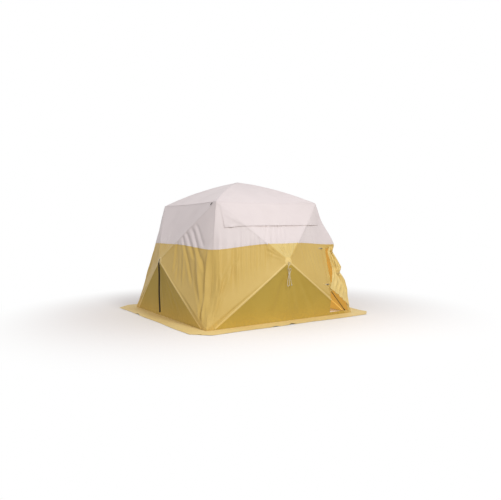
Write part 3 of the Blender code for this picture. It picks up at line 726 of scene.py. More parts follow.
def edge_sag(across):
    """How far a top edge hangs below the straight line between two corners."""
    return TOP_EDGE_SAG * (1 - smooth(np.abs(across) / HALF_TOP, *TOP_EDGE_SPAN))


# A fold has a shallower trough beside its ridge. Its place and width are in widths of the ridge.
FOLD_GAIN = 1.7
FOLD_FADE = 0.35
TROUGH_AT, TROUGH_WIDTH, TROUGH_DEPTH = 1.7, 1.2, 0.45


class Fold:
    """A fold from one plan point to another. Height is outwards, and below zero for a groove."""

    def __init__(self, start, end, height, width, end_width, fade=FOLD_FADE):
        self.start, self.end = np.array(start, float), np.array(end, float)
        self.height = height * FOLD_GAIN
        self.width, self.end_width, self.fade = width, end_width, fade

    def lift(self, p, q):
        way = self.end - self.start
        length = math.hypot(*way)
        dp, dq = p - self.start[0], q - self.start[1]
        t = (dp * way[0] + dq * way[1]) / length ** 2
        off = (dp * way[1] - dq * way[0]) / length
        width = self.width + (self.end_width - self.width) * np.clip(t, 0, 1)
        ends = smooth(t, 0, self.fade) * (1 - smooth(t, 1 - self.fade, 1))
        ridge = np.exp(-(off / width) ** 2)
        beside = np.exp(-((off - TROUGH_AT * width) / (TROUGH_WIDTH * width)) ** 2)
        return self.height * ends * (ridge - TROUGH_DEPTH * beside)


def spread(rng, low, high):
    return low + (high - low) * rng.random()


PLEAT_PLACES, HUB_FOLD_PLACES = (0.2, 0.8), (0.25, 0.75)
PLEAT_TOP_DROP, PLEAT_LOWEST, PLEAT_ABOVE_ROD = (0.2, 0.55), 0.10, (0.0, 0.1)
PLEAT_LEAN, PLEAT_CORNER_LEAN = 0.07, 0.13
PLEAT_SIZES = (0.55, 1.25)
PLEAT_WIDTHS, PLEAT_END_WIDTHS = (0.014, 0.026), (0.012, 0.022)
PLEATS_OUTWARD = 0.6


def hanging_pleats(rng, side, count, low_x, high_x, height):
    """Soft upright folds in a side panel, leaning out to the foot of the corner seam."""
    folds = []
    for i in range(count):
        x = low_x + (high_x - low_x) * (i + spread(rng, *PLEAT_PLACES)) / count
        top = CORNER_HEIGHT - spread(rng, *PLEAT_TOP_DROP)
        bottom = max(PLEAT_LOWEST, HUB_HEIGHT * (1 - x / FOOT) + spread(rng, *PLEAT_ABOVE_ROD))
        lean = PLEAT_CORNER_LEAN * (x / HALF_BASE) + PLEAT_LEAN
        size = height * spread(rng, *PLEAT_SIZES) * (1 if rng.random() < PLEATS_OUTWARD else -1)
        folds.append(Fold((side * x, top), (side * (x + lean), bottom), size,
                          spread(rng, *PLEAT_WIDTHS), spread(rng, *PLEAT_END_WIDTHS)))
    return folds


FOOT_FOLD_TOPS, FOOT_FOLD_LOW = (0.75, 1.1), 0.03
FOOT_FOLD_FROM_SEAM, FOOT_FOLD_SPAN = 0.05, 0.36
FOOT_FOLD_OFF_ROD, FOOT_FOLD_FEET = 0.015, 0.07
FOOT_FOLD_SIZES, FOOT_GROOVE_SHARE = (0.6, 1.3), 0.8
FOOT_FOLD_WIDTHS, FOOT_FOLD_END_WIDTH, FOOT_FOLD_FADE = (0.020, 0.034), 0.011, 0.22


def foot_folds(rng, side, count, height):
    """Folds that gather in the foot of the corner seam, ridges and grooves in turn."""
    folds = []
    for i in range(count):
        top_z = spread(rng, *FOOT_FOLD_TOPS)
        x = seam_x(top_z) - FOOT_FOLD_FROM_SEAM - FOOT_FOLD_SPAN * (i + spread(rng, 0, 1)) / count
        foot_x = FOOT + FOOT_FOLD_OFF_ROD + FOOT_FOLD_FEET * (1 - i / count)
        size = height * spread(rng, *FOOT_FOLD_SIZES) * (1 if i % 2 == 0 else -FOOT_GROOVE_SHARE)
        folds.append(Fold((side * x, top_z), (side * foot_x, FOOT_FOLD_LOW), size,
                          spread(rng, *FOOT_FOLD_WIDTHS), FOOT_FOLD_END_WIDTH, FOOT_FOLD_FADE))
    return folds


HUB_FOLD_START, HUB_FOLD_REACH = 0.05, (0.18, 0.42)
HUB_FOLD_SIZES = (0.6, 1.3)
HUB_FOLD_WIDTH, HUB_FOLD_END_WIDTHS, HUB_FOLD_FADE = 0.008, (0.018, 0.03), 0.3


def hub_folds(rng, low, high, count, height):
    """Folds that run out from the hub between two bearings in degrees, clockwise from straight up."""
    folds = []
    hub = np.array((0, HUB_HEIGHT))
    for i in range(count):
        bearing = math.radians(low + (high - low) * (i + spread(rng, *HUB_FOLD_PLACES)) / count)
        away = np.array((math.sin(bearing), math.cos(bearing)))
        size = height * spread(rng, *HUB_FOLD_SIZES)
        folds.append(Fold(hub + away * HUB_FOLD_START, hub + away * spread(rng, *HUB_FOLD_REACH), size,
                          HUB_FOLD_WIDTH, spread(rng, *HUB_FOLD_END_WIDTHS), HUB_FOLD_FADE))
    return folds


# Folds that the photograph shows, and that are set where it has them
FRONT_SHOWN = [
    Fold((0.004, 0.855), (-0.045, 1.06), 0.013, 0.010, 0.019, 0.25),
    Fold((-0.03, 0.86), (-0.12, 1.08), 0.008, 0.009, 0.017, 0.25),
    Fold((0.035, 0.87), (0.075, 1.08), 0.013, 0.010, 0.020, 0.25),
    Fold((0.05, 0.86), (0.17, 1.08), 0.009, 0.010, 0.018, 0.25),
    Fold((-0.131, 1.36), (-0.225, 1.06), 0.0055, 0.016, 0.022),
    Fold((-0.20, 1.34), (-0.30, 1.05), 0.0055, 0.018, 0.024),
    Fold((0.05, 1.36), (-0.002, 1.12), 0.006, 0.014, 0.02),
    Fold((0.10, 1.34), (0.05, 1.08), 0.006, 0.014, 0.02),
    Fold((-0.05, 1.34), (-0.13, 1.02), 0.005, 0.014, 0.02)]
LEFT_SHOWN = [
    Fold((0.49, 1.34), (0.98, 0.66), -0.009, 0.020, 0.024, 0.18),
    Fold((0.40, 1.28), (0.72, 0.86), -0.008, 0.018, 0.024, 0.18),
    Fold((0.34, 1.23), (0.80, 0.50), -0.008, 0.017, 0.022, 0.18),
    Fold((0.28, 1.16), (0.37, 0.66), -0.007, 0.017, 0.022, 0.2),
    Fold((0.58, 1.36), (0.83, 1.05), -0.006, 0.018, 0.022, 0.2),
    Fold((0.33, 1.03), (0.46, 0.52), -0.005, 0.016, 0.02),
    Fold((0.44, 1.03), (0.60, 0.47), 0.006, 0.016, 0.02),
    Fold((0.66, 1.05), (0.98, 0.40), 0.006, 0.02, 0.02),
    Fold((0.90, 1.10), (1.125, 0.04), 0.011, 0.024, 0.014, 0.15),
    Fold((0.80, 1.00), (1.10, 0.04), -0.008, 0.03, 0.014, 0.15)]


def front_folds(rng):
    folds = FRONT_SHOWN + hanging_pleats(rng, -1, count=15, low_x=0.10, high_x=1.02, height=0.0062)
    folds += hanging_pleats(rng, 1, count=5, low_x=0.25, high_x=0.75, height=0.0025)
    folds += foot_folds(rng, -1, count=6, height=0.006)
    return folds + hub_folds(rng, -75, -20, count=4, height=0.004)


def left_folds(rng):
    folds = LEFT_SHOWN + foot_folds(rng, 1, count=4, height=0.004)
    folds += foot_folds(rng, -1, count=5, height=0.005)
    folds += hanging_pleats(rng, -1, count=10, low_x=0.12, high_x=0.95, height=0.004)
    return folds + hub_folds(rng, -30, 30, count=4, height=0.004)


def plain_folds(rng):
    """The folds of a wall that the photograph doesn't show."""
    folds = []
    for side in (-1, 1):
        folds += foot_folds(rng, side, count=6, height=0.006)
        folds += hanging_pleats(rng, side, count=12, low_x=0.12, high_x=1.0, height=0.0042)
    return folds + hub_folds(rng, -70, 70, count=7, height=0.0045)


LOW_FOLDS, LOW_FOLD_HALF, LOW_FOLD_HEIGHT = 5, 0.6, 0.003
LOW_FOLD_TOP, LOW_FOLD_FOOT, LOW_FOLD_TOP_SHARE = 0.66, 0.06, 0.3
LOW_FOLD_WIDTHS, LOW_FOLD_END_WIDTHS = (0.02, 0.035), (0.03, 0.05)


def lower_panel_folds(rng):
    """A few slack folds in the panel under the hub."""
    folds = []
    for _ in range(LOW_FOLDS):
        x = spread(rng, -LOW_FOLD_HALF, LOW_FOLD_HALF)
        size = LOW_FOLD_HEIGHT * (1 if rng.random() < 0.5 else -1)
        folds.append(Fold((x * LOW_FOLD_TOP_SHARE, LOW_FOLD_TOP), (x, LOW_FOLD_FOOT), size,
                          spread(rng, *LOW_FOLD_WIDTHS), spread(rng, *LOW_FOLD_END_WIDTHS)))
    return folds


FOLD_SEED = 40
wall_folds = {}
for number, (wall, maker) in enumerate((("front", front_folds), ("left", left_folds),
                                        ("right", plain_folds), ("back", plain_folds))):
    fold_rng = np.random.default_rng(FOLD_SEED + number)
    wall_folds[wall] = maker(fold_rng) + lower_panel_folds(fold_rng)


def rod_distance(p, q, end):
    """Distance in the plan from the nearer of a wall's two rods that run to that end."""
    way = np.array(end) - (0, HUB_HEIGHT)
    run = np.clip((np.abs(p) * way[0] + (q - HUB_HEIGHT) * way[1]) / (way @ way), 0, 1)
    return np.hypot(np.abs(p) - run * way[0], q - HUB_HEIGHT - run * way[1])


WAVE_COUNT, WAVE_LENGTHS = 7, (0.6, 1.5)


def waves(p, q, seed, size):
    """Slow uneven waves, from about -1 to 1."""
    total = np.zeros(p.shape)
    rng = np.random.default_rng(seed)
    for _ in range(WAVE_COUNT):
        angle = rng.random() * math.tau
        length = size * spread(rng, *WAVE_LENGTHS)
        phase = rng.random() * math.tau
        total += np.sin((p * math.cos(angle) + q * math.sin(angle)) * math.tau / length + phase)
    return total / 4


# Where the cloth is held: distances over which it comes free of its seams, the rods, the hubs and the
# top corners, and the share of a fold that is left over a rod
SEAM_HOLD, TOP_HOLD, FOOT_HOLD = (0.0, 0.045), (0.0, 0.05), (0.004, 0.05)
ROD_HOLD, HUB_HOLD, CORNER_HOLD = (0.006, 0.035), (0.075, 0.14), (0.05, 0.12)
ROOF_ROD_HOLD, ROOF_EDGE_HOLD = (0.008, 0.05), (0.0, 0.06)
COVER_HOLD = (0.0, 0.012)
HELD_FOLD = 0.35
WALL_WAVE, WALL_WAVE_SIZE, WALL_WAVE_SEED = 0.0028, 0.55, 7
ROOF_WAVE, ROOF_WAVE_SIZE, ROOF_WAVE_SEED = 0.002, 0.5, 3
SHIFT_HUB_HOLD, SHIFT_ROD_HOLD = (0.08, 0.30), (0.02, 0.11)
SAG_INWARD = 0.4


def dressed_wall(p, q, wall):
    """Where the cloth of a wall lies, for plan points. Returns points of the front wall."""
    _, slack = wall_face.height(p, q)
    side_x = seam_x(q)
    from_seam = side_x - np.abs(p)
    from_top = CORNER_HEIGHT - q
    from_hub = np.hypot(p, q - HUB_HEIGHT)
    from_corner = np.hypot(np.abs(p) - HALF_TOP, q - CORNER_HEIGHT)
    upper = rod_distance(p, q, (HALF_TOP, CORNER_HEIGHT))
    near_rod = np.minimum(upper, rod_distance(p, q, (FOOT, WALL_FOOT)))
    seam = corner_draw(p, q, wall)
    top = edge_sag(p) * (1 - smooth(from_top, 0, SAG_REACH))
    lift = sum(fold.lift(p, q) for fold in wall_folds[wall])
    lift += WALL_WAVE * waves(p, q, WALL_WAVE_SEED + WALL_TURNS[wall], WALL_WAVE_SIZE)
    open_cloth = smooth(from_seam, *SEAM_HOLD) * smooth(from_top, *TOP_HOLD) * smooth(q, *FOOT_HOLD)
    lift = lift * open_cloth - GORE_SLACK * slack
    held = smooth(near_rod, *ROD_HOLD) * smooth(from_hub, *HUB_HOLD)
    held *= smooth(from_corner, *CORNER_HOLD)
    lift = np.where(lift < 0, lift * held, lift * (HELD_FOLD + (1 - HELD_FOLD) * held))
    lift += ROD_COVER * (1 - held) * smooth(from_seam, *COVER_HOLD) * smooth(from_top, *COVER_HOLD)
    shift = line_shift(p, q, wall) * smooth(from_hub, *SHIFT_HUB_HOLD)
    along_rod = 1 - smooth(upper, *SHIFT_ROD_HOLD)
    aside = (seam_x(q + shift) - side_x) * smooth(np.abs(p), 0, side_x) * (1 - along_rod)
    plan_p = p + np.sign(p) * (aside + UPPER_SLOPE * shift * along_rod)
    level, _ = wall_face.height(plan_p, q + shift)
    y = -(level + lift - seam - SAG_INWARD * top)
    return np.stack((plan_p - np.sign(p) * seam, y, q - top + shift), axis=1)


def dressed_roof(p, q):
    """Where the cloth of the roof lies, for plan points."""
    height, slack = roof_face.height(p, q)
    from_edge = HALF_TOP - np.maximum(np.abs(p), np.abs(q))
    sag_y = edge_sag(p) * (1 - smooth(HALF_TOP - np.abs(q), 0, SAG_REACH))
    sag_x = edge_sag(q) * (1 - smooth(HALF_TOP - np.abs(p), 0, SAG_REACH))
    held = smooth(np.abs(np.abs(p) - np.abs(q)), *ROOF_ROD_HOLD) * smooth(np.hypot(p, q), *HUB_HOLD)
    lift = ROOF_WAVE * waves(p, q, ROOF_WAVE_SEED, ROOF_WAVE_SIZE) * smooth(from_edge, *ROOF_EDGE_HOLD)
    lift -= ROOF_SLACK * slack
    lift = np.where(lift < 0, lift * held, lift)
    lift += ROD_COVER * (1 - held) * smooth(from_edge, *COVER_HOLD)
    height = height + lift - sag_x - sag_y
    x, y = p - np.sign(p) * SAG_INWARD * sag_x, q - np.sign(q) * SAG_INWARD * sag_y
    return np.stack((x, y, height), axis=1)


def turned(points, wall):
    turn = np.array(wall_turn(wall).to_3x3())
    return points @ turn.T


def dresser(wall):
    """The dressing function of a wall, or of the roof for None."""
    if wall is None:
        return dressed_roof
    return lambda p, q: turned(dressed_wall(p, q, wall), wall)


NORMAL_STEP = 0.002


def off_cloth(dress, p, q, off):
    """Points off the dressed cloth, at right angles to it."""
    along = dress(p + NORMAL_STEP, q) - dress(p - NORMAL_STEP, q)
    up = dress(p, q + NORMAL_STEP) - dress(p, q - NORMAL_STEP)
    normal = np.cross(along, up)
    return dress(p, q) + normal / np.linalg.norm(normal, axis=1, keepdims=True) * off


# Panels laid out flat

def edges_of(outline):
    return list(zip(outline, outline[1:] + outline[:1]))


def flat_panel(outline, holes=()):
    """A flat grid cut to a convex outline of plan points, anticlockwise, with convex holes in it."""
    corners = np.array(outline)
    low = np.floor(corners.min(axis=0) / GRID).astype(int)
    high = np.ceil(corners.max(axis=0) / GRID).astype(int)
    cells = high - low
    bm = bmesh.new()
    bmesh.ops.create_grid(bm, x_segments=int(cells[0]), y_segments=int(cells[1]), size=0.5)
    middle = (low + high) / 2 * GRID
    place = Matrix.Translation((*middle, 0)) @ Matrix.Diagonal((*(cells * GRID), 1, 1))
    bmesh.ops.transform(bm, matrix=place, verts=bm.verts)
    for ring, clear in [(outline, True)] + [(hole, False) for hole in holes]:
        for a, b in edges_of(list(ring)):
            normal = (b[1] - a[1], a[0] - b[0], 0)
            geom = bm.verts[:] + bm.edges[:] + bm.faces[:]
            bmesh.ops.bisect_plane(bm, geom=geom, plane_co=(*a, 0), plane_no=normal, dist=SAME_CUT,
                                   clear_outer=clear)
    for hole in holes:
        inside = [f for f in bm.faces if all(
            (b[0] - a[0]) * (f.calc_center_median().y - a[1])
            - (b[1] - a[1]) * (f.calc_center_median().x - a[0]) > 0 for a, b in edges_of(list(hole)))]
        bmesh.ops.delete(bm, geom=inside, context="FACES")
    bmesh.ops.dissolve_degenerate(bm, edges=bm.edges, dist=SAME_CUT)
    return bm


FLATTENING_STEP = 0.05


def flattening(outline, dress):
    """The matrix that lays plan points out flat in metres, as the panel is cut."""
    middle = np.mean(np.array(outline), axis=0)
    p = middle[0] + np.array((FLATTENING_STEP, -FLATTENING_STEP, 0, 0))
    q = middle[1] + np.array((0, 0, FLATTENING_STEP, -FLATTENING_STEP))
    points = dress(p, q)
    a, b = (points[0] - points[1]) / (2 * FLATTENING_STEP), (points[2] - points[3]) / (2 * FLATTENING_STEP)
    lean = a @ b / math.sqrt(a @ a)
    return np.array(((math.sqrt(a @ a), lean), (0, math.sqrt(b @ b - lean ** 2))))


def sewn_edges(flat, rings, lay_flat):
    """Distance from the nearest sewn edge, and along it from its nearer end, for flattened points.

    An edge that runs down the middle of a wall is not sewn: that panel is in halves only to fold.
    """
    nearest = np.full(len(flat), np.inf)
    along = np.zeros(len(flat))
    for ring in rings:
        for start, end in edges_of(list(ring)):
            if start[0] == end[0] == 0:
                continue
            a, b = lay_flat @ start, lay_flat @ end
            way = b - a
            length = np.linalg.norm(way)
            way = way / length
            run = (flat - a) @ way
            off = np.abs((flat - a) @ np.array((-way[1], way[0])))
            beyond = np.clip(np.maximum(-run, run - length), 0, None)
            off = np.hypot(off, beyond)
            along = np.where(off < nearest, np.minimum(run, length - run), along)
            nearest = np.minimum(off, nearest)
    return nearest, along


def cloth_panel(name, outline, dress, front, back, holes=()):
    """A sewn panel of one fabric, laid out flat, hemmed by its attributes, then dressed.

    Returns it with the flat size and the area of its cut.
    """
    obj = object_from(flat_panel(outline, holes), name, front, back)
    mesh = obj.data
    plan = coordinates(mesh)[:, :2]
    lay_flat = flattening(outline, dress)
    flat = plan @ lay_flat.T
    edge, along = sewn_edges(flat, (outline, *holes), lay_flat)
    for key, values in (("edge", edge), ("along", along)):
        mesh.attributes.new(key, "FLOAT", "POINT").data.foreach_set("value", values)
    layer = mesh.uv_layers.new(name="cloth")
    corner_vert = np.empty(len(mesh.loops), int)
    mesh.loops.foreach_get("vertex_index", corner_vert)
    layer.data.foreach_set("uv", flat[corner_vert].ravel())
    area = sum(face.area for face in mesh.polygons) * np.linalg.det(lay_flat)
    mesh.vertices.foreach_set("co", dress(plan[:, 0], plan[:, 1]).ravel())
    mesh.update()
    thicken(obj, CLOTH)
    size = np.ptp(np.array(outline) @ lay_flat.T, axis=0)
    return obj, tuple(float(s) for s in size), float(area)


# Panels of the walls and the roof, each going with the rod along its edge


def fold_with(obj, body):
    """Makes a piece go with a body, with a mesh of its own."""
    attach(obj, body)
    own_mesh(obj)


def wall_point(x, z, depth):
    return Vector((x, -depth, z))


HUB = (0.0, HUB_HEIGHT)


def top_corner(side):
    return wall_point(side * HALF_TOP, CORNER_HEIGHT, HALF_TOP)


def rod_foot(side):
    return wall_point(side * FOOT, WALL_FOOT, HALF_BASE)


WINDOW_HALF, WINDOW_LOW, WINDOW_TOP = 0.45, 1.38, 1.58
WINDOW = [(-WINDOW_HALF, WINDOW_LOW), (WINDOW_HALF, WINDOW_LOW), (WINDOW_HALF, WINDOW_TOP),
          (-WINDOW_HALF, WINDOW_TOP)]

DOOR_LEFT = 0.80
DOOR_TOP = 0.985
DOOR_SILL = 0.045
DOOR_SEAM_MARGIN = 0.045


def door_outline():
    right_low = seam_x(DOOR_SILL) - DOOR_SEAM_MARGIN
    right_high = seam_x(DOOR_TOP) - DOOR_SEAM_MARGIN
    return [(DOOR_LEFT, DOOR_SILL), (right_low, DOOR_SILL), (right_high, DOOR_TOP), (DOOR_LEFT, DOOR_TOP)]


def cut_at(outline, height, keep_above):
    """The part of a convex outline above or below a height."""
    kept = []
    for a, b in edges_of(outline):
        if (a[1] >= height) == keep_above:
            kept.append(a)
        if (a[1] - height) * (b[1] - height) < 0:
            share = (height - a[1]) / (b[1] - a[1])
            kept.append((a[0] + (b[0] - a[0]) * share, height))
    return kept


def make_wall(wall):
    dress = dresser(wall)
    holes_up = [WINDOW] if wall == "front" else []
    holes_right = [door_outline()] if wall == "front" else []
    left_top, right_top = (-HALF_TOP, CORNER_HEIGHT), (HALF_TOP, CORNER_HEIGHT)
    left_base, right_base = (-HALF_BASE, WALL_FOOT), (HALF_BASE, WALL_FOOT)
    left_foot, right_foot = (-FOOT, WALL_FOOT), (FOOT, WALL_FOOT)
    middle = (0.0, WALL_FOOT)
    gores = [
        ("top", [HUB, right_top, left_top], "upper_left", top_corner(-1), top_corner(1), holes_up),
        ("left", [HUB, left_top, left_base, left_foot], "upper_left", top_corner(-1), rod_foot(-1), []),
        ("right", [HUB, right_foot, right_base, right_top], "upper_right", top_corner(1), rod_foot(1),
         holes_right),
        ("low_left", [HUB, left_foot, middle], "lower_left", rod_foot(-1), rod_foot(1), []),
        ("low_right", [HUB, middle, right_foot], "lower_right", rod_foot(1), rod_foot(-1), holes_right)]
    for gore, outline, rod, rod_end, far, holes in gores:
        bands = [("yellow", outline, "lower")]
        if not gore.startswith("low"):
            bands = [("white", cut_at(outline, COLOUR_LINE, True), "upper"),
                     ("yellow", cut_at(outline, COLOUR_LINE, False), "lower")]
        for colour, part, level in bands:
            cuts = holes if (colour == "white") == (gore == "top") else []
            name = f"{wall}_{gore}_{colour}_panel"
            # The panels under the hub take the darker yellow: painted shade
            outside = mats["shaded_low_yellow" if gore.startswith("low") else colour]
            # That one panel gets the paler yellow: painted light
            if name == PAINTED_LIGHT_PANEL:
                outside = mats["painted_light_yellow"]
            obj, size, area = cloth_panel(name, part, dress, outside, mats[colour + "_inside"], cuts)
            fold_with(obj, f"{wall}_{rod}_rod")
            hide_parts(f"{level}_wall_{wall}")


for wall_name in WALL_TURNS:
    make_wall(wall_name)


def make_roof():
    corners = {name: (x * HALF_TOP, y * HALF_TOP) for name, (x, y) in CORNERS.items()}
    gores = {"front": ("front_left", "front_right"), "right": ("front_right", "back_right"),
             "back": ("back_right", "back_left"), "left": ("back_left", "front_left")}
    for side, (first, second) in gores.items():
        outline = [(0.0, 0.0), corners[first], corners[second]]
        obj, size, area = cloth_panel(f"roof_{side}_panel", outline, dressed_roof, mats["white"],
                                      mats["white_inside"])
        fold_with(obj, f"roof_rod_{first}")
        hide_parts("roof_canopy")


make_roof()

# Skirt on the ground

SKIRT_CLOTH = 0.0011
SKIRT_INNER = HALF_BASE + 0.0016
SKIRT_CORNER = 1.385
SKIRT_LIFT, SKIRT_MITRE_GAP = 0.0012, 0.001
SKIRT_RIPPLE, SKIRT_CREASE, SKIRT_DRAW = 0.015, 0.0022, 0.012
SKIRT_RIPPLE_DRAW = 0.012
RIPPLED_RATES, RIPPLED_SHIFT, RIPPLED_SPAN = (3.3, 8.9), 2.3, (-0.3, 1.3)
RIPPLE_RATE, RIPPLE_SHIFT, RIPPLE_BEND, RIPPLE_BEND_RATE = 15.0, 1.7, 1.9, 5.3
RIPPLE_SHARPNESS, RIPPLE_GROWTH = 1.5, 1.6
SKIRT_CREASES, SKIRT_DRAW_RATE = (41, 2, 13), 6.1
SKIRT_GRID = (110, 20)


def uneven_wave(at, rate, bend, bend_rate, shift=0):
    """A wave whose pace changes along its way."""
    return np.sin(at * rate + bend * np.sin(at * bend_rate) + shift)


def skirt_ripple(along, wall):
    """Ripples of the skirt's outer edge, 0 where it lies flat, for metres from the wall's middle."""
    seed = list(WALL_TURNS).index(wall) + 1
    long_waves, short_waves = (along * rate for rate in RIPPLED_RATES)
    slow = np.sin(long_waves + RIPPLED_SHIFT * seed) + 0.5 * np.sin(short_waves + seed)
    bend = RIPPLE_BEND * np.sin(along * RIPPLE_BEND_RATE + seed)
    wave = np.sin(along * RIPPLE_RATE + RIPPLE_SHIFT * seed + bend)
    return np.clip(wave, 0, 1) ** RIPPLE_SHARPNESS * smooth(slow, *RIPPLED_SPAN)


def make_skirt(wall, side_name, side):
    """Half of a wall's skirt, from the wall's middle to the mitred corner."""
    spin = wall_turn(wall).to_3x3()
    turn = np.array(spin)

    def place(u, v):
        u = u if side > 0 else 1 - u
        v = 1 - v
        outer = np.minimum(HALF_BASE + SKIRT_WIDTH, 2 * SKIRT_CORNER / (1 + u)) - SKIRT_INNER
        reach = SKIRT_INNER + v * outer
        x = side * u * (reach - SKIRT_MITRE_GAP)
        ripple = skirt_ripple(x, wall) * v ** RIPPLE_GROWTH
        crease = SKIRT_CREASE * v * (0.5 + 0.5 * uneven_wave(x, *SKIRT_CREASES, 3 * v))
        draw = SKIRT_DRAW * v * (0.5 + 0.5 * np.sin(x * SKIRT_DRAW_RATE + WALL_TURNS[wall]))
        z = SKIRT_LIFT + SKIRT_RIPPLE * ripple + crease
        y = -(reach - SKIRT_RIPPLE_DRAW * ripple - draw)
        return np.stack((x, y, z), axis=1) @ turn.T

    name = f"{wall}_skirt_{side_name}"
    width = HALF_BASE + SKIRT_WIDTH
    obj = mapped_grid(name, *SKIRT_GRID, place, mats["skirt"], cut=(width, SKIRT_WIDTH))
    thicken(obj, SKIRT_CLOTH)
    fold_with(obj, f"{wall}_lower_{side_name}_rod")
    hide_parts(f"ground_skirt_{wall}")


for wall_name in WALL_TURNS:
    for side_name, side in SIDES.items():
        make_skirt(wall_name, side_name, side)

# Window flap and net

FLAP_HALF = 0.81
FLAP_DROP = 0.323
FLAP_GRID = (150, 34)
FLAP_ABOVE_EDGE, FLAP_SEAM_OFF, FLAP_STAND_OFF = 0.001, 0.0014, 0.008
FLAP_LEFT_END, FLAP_SIDE_HOLD = 0.30, (0.0, 0.10)
FLAP_LEFT_DROOP, FLAP_SIDE_DROOP = 0.016, 0.007
FLAP_SIDE_SHARE = 0.35
FLAP_WRINKLE, FLAP_WRINKLE_FADE, FLAP_SLANT = 0.0050, (-0.70, -0.25), (0.9, 1.3)
FLAP_WRINKLE_RATE, FLAP_WRINKLE_BEND, FLAP_WRINKLE_BEND_RATE, FLAP_WRINKLE_GROWTH = 36, 1.6, 6.1, 0.6
FLAP_PLEAT, FLAP_PLEATS, FLAP_PLEAT_LEAN = 0.0026, (19, 2.1, 3.7), 4
FLAP_RIPPLE, FLAP_RIPPLES = 0.0018, (47, 3.1, 2.9)
FLAP_CURL, FLAP_SHIFT = 0.013, 0.010


def flap_place(u, v):
    """u runs across the flap from its left end, and v up from its foot to its seam."""
    x = (u - 0.5) * 2 * FLAP_HALF
    drop = (1 - v) * FLAP_DROP
    down = drop / FLAP_DROP
    left_end = 1 - smooth(x, -FLAP_HALF, -FLAP_HALF + FLAP_LEFT_END)
    bottom = smooth(drop, 0, FLAP_DROP)
    z = CORNER_HEIGHT + FLAP_ABOVE_EDGE - edge_sag(x) * (1 - 0.5 * bottom) - drop
    z = z - FLAP_LEFT_DROOP * left_end * down ** 2
    z = z - FLAP_SIDE_DROOP * np.clip((x / FLAP_HALF) ** 2, 0, 1) * down
    height, _ = wall_face.height(np.clip(x, -seam_x(z), seam_x(z)), z)
    at_side = smooth(FLAP_HALF - np.abs(x), *FLAP_SIDE_HOLD)
    stand = FLAP_SEAM_OFF + FLAP_STAND_OFF * bottom * (FLAP_SIDE_SHARE + (1 - FLAP_SIDE_SHARE) * at_side)
    slant = (x + FLAP_HALF) * FLAP_SLANT[0] - drop * FLAP_SLANT[1]
    bend = FLAP_WRINKLE_BEND * np.sin(x * FLAP_WRINKLE_BEND_RATE)
    wrinkle = FLAP_WRINKLE * np.sin(slant * FLAP_WRINKLE_RATE + bend)
    wrinkle = wrinkle * (1 - smooth(x, *FLAP_WRINKLE_FADE)) * bottom ** FLAP_WRINKLE_GROWTH
    wrinkle = np.clip(wrinkle, 0, None) * at_side
    pleat = FLAP_PLEAT * uneven_wave(x, *FLAP_PLEATS, FLAP_PLEAT_LEAN * drop) * bottom
    pleat += FLAP_RIPPLE * uneven_wave(x, *FLAP_RIPPLES) * bottom ** 2
    curl = FLAP_CURL * left_end ** 2 * bottom ** 2
    y = -(height + stand + wrinkle + pleat + curl)
    return np.stack((x + FLAP_SHIFT * left_end * bottom, y, z), axis=1)


NET_MARGIN, NET_OFF, NET_THICKNESS = 0.012, 0.0022, 0.0004
NET_GRID = (60, 16)


def make_window():
    """The flap that covers the window, and the net in it."""
    flap = mapped_grid("window_flap_sheet", *FLAP_GRID, flap_place, mats["white"], mats["white_inside"],
                       cut=(2 * FLAP_HALF, FLAP_DROP))
    thicken(flap, CLOTH)
    fold_with(flap, "window_flap")
    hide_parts("window_flap")
    (left, low), (right, top) = WINDOW[0], WINDOW[2]
    size = (right - left + 2 * NET_MARGIN, top - low + 2 * NET_MARGIN)

    def net_place(u, v):
        points = dressed_wall(left - NET_MARGIN + u * size[0], low - NET_MARGIN + v * size[1], "front")
        return points + np.array((0, NET_OFF, 0))

    net = mapped_grid("window_net", *NET_GRID, net_place, mats["net"], cut=size)
    thicken(net, NET_THICKNESS)
    fold_with(net, "front_upper_left_rod")
    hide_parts("window_mesh")


make_window()

# Door, gathered and tied back along the front right corner seam, loose over the foot of the doorway

DOOR_HEAD, DOOR_TIED = 0.995, 0.595
DOOR_HEM = ((0.80, 0.395), (1.19, 0.100))
DOOR_TIED_SHARE = 0.62
DOOR_OUTER = ((0.995, 0.012), (0.93, 0.010), (0.862, 0.022), (0.776, 0.045), (0.682, 0.066), (0.600, 0.022),
              (0.52, 0.048), (0.479, 0.058), (0.354, 0.050), (0.24, 0.020), (0.10, 0.002))
DOOR_INNER = ((0.0, 0.100), (0.15, 0.118), (0.33, 0.118), (0.50, 0.125), (0.62, 0.160), (0.72, 0.200),
              (0.82, 0.235), (0.92, 0.290), (1.0, 0.330))
DOOR_PLEATS = 5
DOOR_GRID = (120, 28 * DOOR_PLEATS)
DOOR_WIDTH, DOOR_HEAD_WIDTH, DOOR_LENGTH = 0.39, 0.17, 0.96
DOOR_TIES, DOOR_TIE_REACH = (0.90, 0.600), 0.024
DOOR_FAN, DOOR_OFF = 0.040, 0.007
DOOR_ROUND, DOOR_PLEAT_EDGE, DOOR_PLEAT, DOOR_PUFF = 0.022, 0.007, 0.016, 0.013
DOOR_HEAD_HOLD, DOOR_HEM_FLAT, DOOR_TURN = (0, 0.10), (0.82, 1.0), (-0.02, 0.05)
DOOR_TIE_SPAN, DOOR_TIE_HOLD, DOOR_HEAD_SHARE, DOOR_HEM_SHARE = (0.15, 0.5), 0.6, 0.25, 0.65
# How far the pleats wander: by how much, and how fast down the door and across it
DOOR_WANDER = ((1.4, 7, 2), (1.1, 17, 5))
DOOR_ROUND_SPAN, DOOR_ROUNDNESS, DOOR_LOOSE_LOSS = (0.02, 0.98), 0.6, 0.5
# The share by which the pleats and the puffs differ, and how fast they do across and down the door
DOOR_PLEAT_VARIES, DOOR_PLEAT_RATES, DOOR_PUFF_RATES = 0.25, (11, 9), (9.5, 21)
